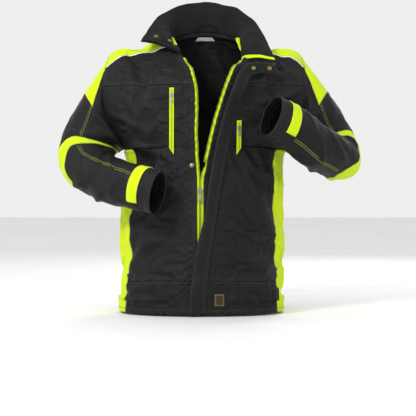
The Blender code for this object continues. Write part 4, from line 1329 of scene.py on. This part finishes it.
def build_collar():
    """The collar in two layers, with the yellow tape along its open left end."""
    def wavy(across, rise):
        base = collar_point(across, rise)
        wave = 0.0022 * np.sin(across * 31.0 + 2.0 * np.sin(across * 9.0)) * rise**2
        return base + np.stack((0 * wave, 0 * wave, wave), -1)

    # The collar's outer layer faces away from the neck, up and out.
    skin = Skin(wavy, None, None, (), (0.01, 0.02), rough=0.0012, sign=-1)

    def chart(u, v):
        return mix(0.0, 1.0, u), mix(-0.07, 1.0, v)

    threads = sewn("t4.5 t10 l4.5 r4.5 b3")
    cloth("collar", skin, chart, (0.55, 0.09), TWILL, hems="lrt", threads=threads, thickness=0.0014)

    def inner_chart(u, v):
        return mix(0.008, 0.992, u), mix(0.05, 0.975, v)

    cloth("collar_facing", skin, inner_chart, (0.54, 0.085), LINING, lift=-0.0032, thickness=0.0014,
          hems="lrt")

    def tape_chart(u, v):
        return mix(0.9870, 0.9990, u), mix(0.0, 0.985, v)

    tape = cloth("collar_tape", skin, tape_chart, (0.009, 0.085), TAPE, nodes=(), lift=-0.0048,
                 thickness=0.0006)
    return skin


# ---------------------------------------------------------------- storm flap


BODY_FLAP_SKIN = Skin(whole_body, None, BODY_CREASES, (), rough=0.0, sign=1)


def flap_table():
    """Rows of (length along the flap, stitched or outer edge, free or zip edge)."""
    rows = []
    for height in (0.003, 0.080, 0.166, 0.246, 0.320, 0.400, 0.470, 0.528):
        x = np.array((curve(FLAP_STITCHED, height), curve(FLAP_FREE, height)))
        angle = edge_angle(x, np.full(2, height))
        points, normals = BODY_FLAP_SKIN.at(angle, np.full(2, height))
        points = points + normals * np.array(FLAP_LIFT)[:, None]
        rows.append(np.concatenate((points[0], points[1])))
    for v in (0.16, 0.34, 0.52, 0.70, 0.86, 1.0):
        rows.append(np.concatenate((smooth(FLAP_TOP_OUTER, v), smooth(FLAP_TOP_ZIP, v))))
    rows = np.array(rows)
    middle = (rows[:, :3] + rows[:, 3:]) / 2
    return np.column_stack((cumulative(middle, 0), rows))


FLAP_TABLE = flap_table()
FLAP_LENGTH = FLAP_TABLE[-1, 0]


def flap_point(u, s):
    """The flap: u from its stitched edge to its free edge, s metres up from the hem."""
    u, s = np.broadcast_arrays(np.asarray(u, float), np.asarray(s, float))
    row = smooth(FLAP_TABLE, s)
    flat = mix(row[..., :3], row[..., 3:], u[..., None])
    crown = 0.0030 * np.sin(math.pi * np.clip(u, 0, 1)) + 0.0016 * np.sin(s * 47.0) * u
    return flat + np.stack((0 * crown, -crown, 0 * crown), -1)


def build_flap():
    """The storm flap as one strip, whose upper end stays beside the collar."""
    skin = Skin(flap_point, None, None, (), (0.02, 0.002), rough=0.0010, sign=-1)

    def chart(u, v):
        return u, mix(0.0, FLAP_LENGTH, v)

    threads = sewn("r4 l4 l9.5 t4")
    obj = cloth("storm_flap", skin, chart, (0.045, FLAP_LENGTH), TWILL,
                nodes=("storm_flap", "storm_flap_top"), hems="lrbt", thickness=0.0022, threads=threads,
                body=None, group="flap", fineness=0.8)
    threads = thread_object("black", "flap")
    threads.data.materials.append(BLACK_THREAD)
    for piece in (obj, threads):
        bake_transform(piece)


# ---------------------------------------------------------------- hard pieces


def mesh_object(name, points, faces, look, smooth_shading=True):
    """A mesh object from points in the row frame."""
    mesh = bpy.data.meshes.new(name)
    mesh.from_pydata(np.asarray(points).tolist(), [], [list(map(int, face)) for face in faces])
    if smooth_shading:
        mesh.shade_smooth()
    mesh.materials.append(look)
    return linked(name, mesh)


def rounded_edges(obj, width, segments=2):
    bevel = obj.modifiers.new("rounded edges", "BEVEL")
    bevel.width = width
    bevel.segments = segments
    bevel.limit_method = "ANGLE"
    bevel.angle_limit = math.radians(35)
    bevel.harden_normals = True


def prism(outline, low, high):
    """Points and faces of an outline in X and Z, standing between two values of Y."""
    count = len(outline)
    points = [(x, y, z) for y in (low, high) for x, z in outline]
    faces = [tuple(range(count)), tuple(range(2 * count - 1, count - 1, -1))]
    for i in range(count):
        j = (i + 1) % count
        faces.append((j, i, count + i, count + j))
    return points, faces


def rectangle(x_low, z_low, x_high, z_high):
    return [(x_low, z_low), (x_high, z_low), (x_high, z_high), (x_low, z_high)]


def joined(shapes):
    """One list of points and faces from several."""
    points, faces = [], []
    for more_points, more_faces in shapes:
        start = len(points)
        points += more_points
        faces += [tuple(start + i for i in face) for face in more_faces]
    return points, faces


def zip_frame(low, high, outward, at):
    """Local Z up the zip, local -Y away from the body; the result is in the row frame."""
    along = Vector(high - low).normalized()
    away = Vector(outward) - along * along.dot(Vector(outward))
    away.normalize()
    across = (-away).cross(along)
    matrix = Matrix((across, -away, along)).transposed().to_4x4()
    matrix.translation = Vector(at + HEM_ORIGIN)
    return matrix


def placed(name, shapes, matrix, look, width):
    """Shapes in a zip's frame as one piece with rounded edges."""
    points, faces = joined(shapes)
    world = [tuple(matrix @ Vector(point)) for point in points]
    obj = mesh_object(name, world, faces, look)
    rounded_edges(obj, width)
    return obj


def slider_shapes(half, length, front, back, bridge):
    """A zip slider: a waisted front plate with flanges, a back plate, a wedge and a bridge."""
    waist = [(-half, length), (-half * 0.4, length * 1.04), (half * 0.4, length * 1.04), (half, length),
             (half, length * 0.1), (half * 0.78, -length * 0.95), (half * 0.5, -length),
             (-half * 0.5, -length), (-half * 0.78, -length * 0.95), (-half, length * 0.1)]
    shapes = [prism(waist, front - 0.0012, front)]
    for side in (-1, 1):
        x_low, x_high = sorted((side * half * 0.86, side * half * 0.99))
        flange = rectangle(x_low, length * 0.05, x_high, length * 0.95)
        shapes.append(prism(flange, front - 0.0001, front + 0.0011))
    if back is not None:
        shapes.append(prism(waist, back, back + 0.0010))
        shapes.append(prism([(-0.0009, length * 0.5), (0.0009, length * 0.5), (0.0007, length * 0.92),
                             (-0.0007, length * 0.92)], front - 0.0002, back + 0.0002))
    wide, high, z_low, z_high = bridge
    top = front - 0.0012
    shapes.append(prism(rectangle(-wide, z_high - 0.0018, wide, z_high), top - high, top + 0.0002))
    shapes.append(prism(rectangle(-wide, z_low, wide, z_low + 0.0018), top - high, top + 0.0002))
    bar = rectangle(-wide, z_low + 0.0003, wide, z_high - 0.0003)
    shapes.append(prism(bar, top - high - 0.0008, top - high + 0.0002))
    return shapes


def pull_piece(name, matrix, width, length, eye, depth, look):
    """A zip pull: a waisted tab with an eye and a ridged grip, hanging along -Z from its bar."""
    half, bar, side_bar = width / 2, 0.0005, eye[0] / 2
    outline = [(-half * 0.75, bar), (half * 0.75, bar), (half, -0.001), (half * 0.96, -eye[1]),
               (half * 0.62, -eye[1] - 0.0035), (half * 0.70, -length * 0.62),
               (half * 0.98, -length * 0.82), (half * 0.86, -length - 0.0004),
               (half * 0.45, -length - 0.0015)]
    outline += [(-x, z) for x, z in reversed(outline[2:])]
    hole = [(-side_bar, -bar), (side_bar, -bar), (side_bar, -bar - eye[1] + 0.0012),
            (side_bar * 0.5, -bar - eye[1]), (-side_bar * 0.5, -bar - eye[1]),
            (-side_bar, -bar - eye[1] + 0.0012)]
    curve_data = bpy.data.curves.new(name, "CURVE")
    curve_data.dimensions = "2D"
    curve_data.fill_mode = "BOTH"
    curve_data.extrude = depth / 2 - 0.00018
    curve_data.bevel_depth = 0.00018
    curve_data.bevel_resolution = 2
    curve_data.offset = -0.00018
    for points in (outline, hole):
        spline = curve_data.splines.new("POLY")
        spline.points.add(len(points) - 1)
        for point, (x, z) in zip(spline.points, points):
            point.co = (x, z, 0.0, 1.0)
        spline.use_cyclic_u = True
    maker = linked(name, curve_data)
    mesh = bpy.data.meshes.new_from_object(maker)
    bpy.data.objects.remove(maker, do_unlink=True)
    mesh.transform(matrix @ Matrix.Rotation(math.pi / 2, 4, "X"))
    mesh.materials.clear()
    mesh.materials.append(look)
    mesh.shade_smooth()
    tab = linked(name, mesh)
    tab.modifiers.new("even shading", "WEIGHTED_NORMAL")
    ridges = []
    for i in range(6):
        z = -length * (0.70 + 0.045 * i)
        ridge = rectangle(-half * 0.52, z, half * 0.52, z + 0.0006)
        ridges.append(prism(ridge, -depth / 2 - 0.0003, -depth / 2 + 0.0001))
    grip = placed(f"{name}_grip", ridges, matrix, look, 0.00012)
    return tab, grip


def ride_all(body, nodes, *pieces, slot="dark_nickel"):
    for piece in pieces:
        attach(piece, body)
    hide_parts(*nodes)


def body_at(x, height):
    angle = edge_angle(x, height)
    return BASE_SKIN.surface(angle, height), BASE_SKIN.normal(angle, height)


BASE_SKIN = Skin(whole_body, None, None, (), (0.5, 0.002), rough=0.0, sign=1)


def build_main_slider():
    """The main zip's slider, pull and the box at its lower end."""
    low, _ = body_at(CHAIN_X, 0.04)
    at, outward = body_at(CHAIN_X, SLIDER_HEIGHT)
    matrix = zip_frame(low, at, outward, at)
    shapes = slider_shapes(0.0053, 0.0085, -0.0006, 0.0056, (0.0012, 0.0018, -0.0045, 0.0055))
    slider = placed("zip_slider_body", shapes, matrix, NICKEL, 0.00035)
    ride_all("main_slider", ("zip_slider",), slider)
    swing = matrix @ Matrix.Translation((0.0, -0.0026, 0.0020))
    tab, grip = pull_piece("zip_pull_tab", swing, 0.0078, 0.030, (0.0042, 0.0090), 0.0010, NICKEL)
    ride_all("main_pull", ("zip_pull",), tab, grip)
    outline = [(-0.0072, -0.3086), (-0.0060, -0.3090), (0.0060, -0.3090), (0.0072, -0.3086),
               (0.0072, -0.2990), (0.0062, -0.2980), (-0.0062, -0.2980), (-0.0072, -0.2990)]
    box = [prism(outline, -0.0012, 0.0062),
           prism(rectangle(-0.0008, -0.3070, 0.0008, -0.2990), -0.0016, -0.0010)]
    ride_all(ROOT, ("zip_box",), placed("zip_box_body", box, matrix, NICKEL, 0.0005))


def tooth_strip(name, places, across, along, away, sizes, look, node):
    """A row of moulded teeth: each a stem and a wider head, across the gap of a zip."""
    reach, half_stem, half_head, thick = sizes
    points, faces = [], []
    sections = ((0.0, half_stem), (reach * 0.55, half_stem), (reach * 0.72, half_head),
                (reach, half_head * 0.8))
    for place, side, way, out in zip(places, across, along, away):
        start = len(points)
        for distance, half in sections:
            for height, width in ((-thick / 2, half * 0.8), (thick / 2, half * 0.8)):
                for sign in (-1, 1):
                    points.append(place + side * distance + way * (sign * width) + out * height)
        for i in range(len(sections) - 1):
            a, b = start + 4 * i, start + 4 * (i + 1)
            faces += [(a, a + 1, b + 1, b), (a + 2, b + 2, b + 3, a + 3), (a, b, b + 2, a + 2),
                      (a + 1, a + 3, b + 3, b + 1)]
        a, b = start, start + 4 * (len(sections) - 1)
        faces += [(a, a + 2, a + 3, a + 1), (b, b + 1, b + 3, b + 2)]
    obj = mesh_object(name, np.array(points) + HEM_ORIGIN, faces, look, smooth_shading=False)
    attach(obj, ROOT)
    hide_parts(node)
    return obj


def build_zip_sides():
    """Both sides of the main zip: a tape and a row of separate teeth each."""
    skin = BODY_FLAP_SKIN
    for side, word in ((-1, "right"), (1, "left")):
        def strip(offset, height, side=side):
            x = front_edge(side, height) - side * offset
            return skin.at(edge_angle(x, height), height)

        def chart(u, v, side=side):
            height = mix(ZIP_BOTTOM, ZIP_TOP, v)
            x = front_edge(side, height) - side * mix(-0.0080, 0.0058, u)
            return edge_angle(x, height), height

        cloth(f"zip_tape_{word}", skin, chart, (0.014, 0.72), TAPE, lift=-0.0027, thickness=0.0007,
              threads=sewn(yellow="r2.2"), fineness=0.7)
        fine = np.linspace(ZIP_BOTTOM + 0.002, ZIP_TOP, 900)
        line, _ = strip(0.0, fine)
        length = cumulative(line, 0)
        shift = 0.0 if side < 0 else 0.5
        at = np.interp((np.arange(int(length[-1] / TOOTH_PITCH)) + shift) * TOOTH_PITCH, length, fine)
        inner, normal = strip(0.0044, at)
        outer, _ = strip(0.0060, at)
        across = unit(outer - inner)
        along = np.cross(normal, across)
        tooth_strip(f"zip_teeth_{word}_row", inner - normal * 0.0030, across, along, normal,
                    (0.0042, 0.00045, 0.00075, 0.0024), COIL, f"zip_teeth_{word}")


def build_pocket_zip(side, word):
    """A chest pocket's zip and the bag behind it."""
    x, top = side * POCKET_ZIP_X, POCKET_ZIP_HIGH[side]
    low, _ = body_at(x, POCKET_ZIP_LOW)
    high, _ = body_at(x, top)
    _, outward = body_at(x, (POCKET_ZIP_LOW + top) / 2)
    length = float(np.linalg.norm(high - low))
    matrix = zip_frame(low, high, outward, high + outward * POCKET_ZIP_RISE)
    half = POCKET_ZIP_WIDE / 2
    # Two tapes with a turned outer edge each. The lower end runs out to a point towards the front.
    def tape_end(x):
        return -length + 0.0175 * (x * side + half) / (2 * half)

    shapes = []
    for near, far in ((-half, 0.0), (0.0, half)):
        strip = [(near, tape_end(near)), (far, tape_end(far)), (far, 0.0), (near, 0.0)]
        shapes.append(prism(strip, -0.0006, 0.0004))
        rim = -half if near < 0 else half * 0.72
        rim_end = rim + half * 0.28
        shapes.append(prism([(rim, tape_end(rim) + 0.001), (rim_end, tape_end(rim_end) + 0.001),
                             (rim_end, -0.0004), (rim, -0.0004)], -0.0012, -0.0005))
    tape = placed(f"pocket_zip_tape_{word}_strips", shapes, matrix, TAPE, 0.0003)
    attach(tape, ROOT)
    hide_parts(f"pocket_zip_tape_{word}")
    places, across, along, away = [], [], [], []
    frame_x, frame_y, frame_z = (np.array(matrix.col[k][:3]) for k in range(3))
    origin = np.array(matrix.translation) - HEM_ORIGIN
    for i in range(int((length - 0.014) / 0.0016)):
        sign = -1 if i % 2 else 1
        z = -0.004 - 0.0016 * i
        places.append(origin + frame_x * (-0.0016 * sign) + frame_z * z - frame_y * 0.0016)
        across.append(frame_x * sign)
        along.append(frame_z)
        away.append(-frame_y)
    tooth_strip(f"pocket_zip_teeth_{word}_coil", places, across, along, away,
                (0.0030, 0.00045, 0.00065, 0.0014), COIL, f"pocket_zip_teeth_{word}")
    rider = matrix @ Matrix.Translation((0.0, -0.0028, -POCKET_SLIDER_DROP))
    shapes = slider_shapes(0.0040, 0.0060, 0.0, None, (0.0010, 0.0014, -0.0040, 0.0040))
    slider = placed(f"pocket_slider_{word}_body", shapes, rider, NICKEL, 0.00025)
    ride_all(f"pocket_slider_{word}", (f"pocket_slider_{word}",), slider)
    swing = rider @ Matrix.Translation((0.0, -0.0017, 0.0012))
    tab, grip = pull_piece(f"pocket_pull_{word}_tab", swing, 0.0062, 0.020, (0.0034, 0.0075),
                           0.0008, NICKEL)
    ride_all(f"pocket_pull_{word}", (f"pocket_pull_{word}",), tab, grip)

    def bag_chart(u, v):
        height = mix(0.398, POCKET_BAG_TOP, v)
        return edge_angle(side * mix(0.104, 0.182, u), height), height

    cloth(f"pocket_bag_{word}", BODY_SKIN, bag_chart, (0.08, 0.19), LINING, lift=-0.0085,
          thickness=0.0010, hems="lrbt")


def tube_faces(rows, around):
    """The faces of rings of points, one after another, with a cap on each end."""
    faces = grid_faces(rows, around, True).tolist()
    return faces + [range(around)[::-1], range((rows - 1) * around, rows * around)]


def revolved(name, profile, at, axis, look, node, steps=40):
    """A turned piece in the row frame: profile of (radius, height) along an axis."""
    turn = Vector(axis).to_track_quat("Z", "Y").to_matrix()
    points = []
    for radius, height in profile:
        for i in range(steps):
            angle = 2 * math.pi * i / steps
            local = Vector((radius * math.cos(angle), radius * math.sin(angle), height))
            points.append(tuple(turn @ local + Vector(at + HEM_ORIGIN)))
    obj = mesh_object(name, points, tube_faces(len(profile), steps), look)
    rounded_edges(obj, 0.00015, 2)
    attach(obj, ROOT)
    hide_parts(node)
    return obj


STUD = ((0.0064, 0.0), (0.0065, 0.0007), (0.0060, 0.0010), (0.0057, 0.0008), (0.0050, 0.0012),
        (0.0048, 0.0019), (0.0036, 0.0025), (0.0018, 0.0028), (0.0003, 0.0029))
SOCKET = ((0.0061, 0.0), (0.0062, 0.0010), (0.0056, 0.0019), (0.0049, 0.0029), (0.0041, 0.0030),
          (0.0036, 0.0026), (0.0033, 0.0019), (0.0029, 0.0016), (0.0028, 0.0010), (0.0003, 0.0009))


def build_snaps(collar_skin):
    """Two studs on the collar, two sockets on the flap and one stud on the right front."""
    for name, rise in (("collar_stud_lower", 0.36), ("collar_stud_upper", 0.76)):
        point, normal = collar_skin.at(np.array(0.055), np.array(rise))
        revolved(f"{name}_cap", STUD, point - normal * 0.0046, -normal, BRASS, name)
    skin = Skin(flap_point, None, None, (), (0.02, 0.002), rough=0.0, sign=-1)
    for name, v in (("flap_socket_lower", 0.62), ("flap_socket_upper", 0.88)):
        target = mix(smooth(FLAP_TOP_OUTER, v), smooth(FLAP_TOP_ZIP, v), 0.5)
        s = np.linspace(FLAP_LENGTH * 0.7, FLAP_LENGTH, 200)
        line = flap_point(np.full(200, 0.5), s)
        nearest = s[np.linalg.norm(line - target, axis=1).argmin()]
        point, normal = skin.at(np.array(0.5), np.array(nearest))
        revolved(f"{name}_ring", SOCKET, point + normal * 0.0002, normal, BRASS, name)
    height = 0.384
    point, normal = BODY_SKIN.at(edge_angle(-0.033, height), np.array(height))
    revolved("front_stud_cap", STUD, point + normal * 0.0002, normal, BRASS, "front_stud")


def build_badge():
    """The blank patch on the hem and the blank size label inside the neck."""
    def chart(u, v):
        height = mix(0.022, 0.053, v)
        return edge_angle(mix(0.024, 0.049, u), height), height

    threads = sewn(tan="l1.4 r1.4 b1.4 t1.4 l3.4 r3.4 b3.4 t3.4")
    cloth("badge_patch", BODY_SKIN, chart, (0.025, 0.031), LABEL, lift=0.0018, thickness=TRIM,
          hems="lrbt", threads=threads)

    def label_chart(u, v):
        return mix(170.0, 190.0, u), mix(0.825, 0.858, v)

    cloth("size_label", BODY_SKIN, label_chart, (0.025, 0.035), SIZE_LABEL, lift=-0.0056, thickness=0.0006)


def build_loop():
    """The hanger loop: a narrow woven tape, twisted a little, from foot to foot."""
    steps, around = 60, 14
    turns = np.linspace(0.0, math.pi, steps)
    rise = mix(LOOP_FOOT, LOOP_TOP, np.sin(turns) ** 0.8)
    path = np.stack((-LOOP_HALF * np.cos(turns), np.full(steps, LOOP_Y), rise), -1)
    way = unit(np.gradient(path, axis=0))
    flat = np.array((0.0, 1.0, 0.0))
    points = []
    for place, direction, turn in zip(path, way, turns):
        side = np.cross(direction, flat)
        twist = 0.5 * math.sin(2 * turn)
        wide = flat * math.cos(twist) + side * math.sin(twist)
        thin = side * math.cos(twist) - flat * math.sin(twist)
        for angle in np.linspace(0, 2 * math.pi, around, endpoint=False):
            points.append(place + wide * (0.0021 * math.cos(angle)) + thin * (0.0012 * math.sin(angle)))
    obj = mesh_object("hanger_loop_tape", np.array(points) + HEM_ORIGIN, tube_faces(steps, around), WEBBING)
    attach(obj, ROOT)
    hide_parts("hanger_loop")


# ---------------------------------------------------------------- stage


# Lights: name, place, size and watts. All of them point at the middle of the jacket.
LIGHTS = (
    ("key", (-1.7, -2.3, 1.3), 0.8, 60.0),
    ("fill", (2.2, -1.8, 0.5), 1.4, 8.0),
    ("back", (1.0, 2.4, 1.2), 1.4, 26.0),
)
LIT_PLACE = (0.0, -0.05, -0.40)
WORLD_LIGHT = 0.86
FLOOR_HALF, FLOOR_DROP = 30.0, 0.006
CAMERA_PLACE, CAMERA_LENS = (0.008, -3.050, -0.5075), 96.0


def area_light(name, place, size, watts):
    light = bpy.data.lights.new(name, "AREA")
    light.shape = "DISK"
    light.size = size
    light.energy = watts
    obj = linked(name, light)
    obj.location = place
    obj.rotation_euler = (Vector(LIT_PLACE) - Vector(place)).to_track_quat("-Z", "Y").to_euler()


def build_stage():
    low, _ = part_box("front_hem_band_left")
    far, z = FLOOR_HALF, low[2] - FLOOR_DROP
    floor = mesh_object("floor", [(-far, -far, z), (far, -far, z), (far, far, z), (-far, far, z)],
                        [(0, 1, 2, 3)], FLOOR)
    world = bpy.data.worlds.new("studio")
    world.use_nodes = True
    background = world.node_tree.nodes["Background"]
    background.inputs["Color"].default_value = (1.0, 1.0, 1.0, 1.0)
    background.inputs["Strength"].default_value = WORLD_LIGHT
    bpy.context.scene.world = world
    for light in LIGHTS:
        area_light(*light)
    bpy.context.scene.view_settings.view_transform = "Standard"
    camera = linked("camera", bpy.data.cameras.new("camera"))
    camera.data.lens = CAMERA_LENS
    camera.location = CAMERA_PLACE
    camera.rotation_euler = (math.radians(90.0), 0.0, 0.0)
    bpy.context.scene.camera = camera


# ---------------------------------------------------------------- everything

build_stage()
build_back()
for SIDE, WORD in ((-1, "right"), (1, "left")):
    build_front(SIDE, WORD)
    build_side(SIDE, WORD)
    build_shoulder(SIDE, WORD)
    build_pocket_outline(SIDE)
    build_sleeve(SIDE, WORD)
    build_pocket_zip(SIDE, WORD)
build_facings()
COLLAR_SKIN = build_collar()
build_zip_sides()
build_main_slider()
build_snaps(COLLAR_SKIN)
build_badge()
build_loop()
build_flap()
for THREAD, LOOK, SLOT in (
    ("black", BLACK_THREAD, "black_twill"),
    ("yellow", YELLOW_THREAD, "yellow_twill"),
    ("tan", TAN_THREAD, "woven_label"),
):
    STITCHING = thread_object(THREAD, "root")
    STITCHING.data.materials.append(LOOK)
    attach(STITCHING, ROOT)
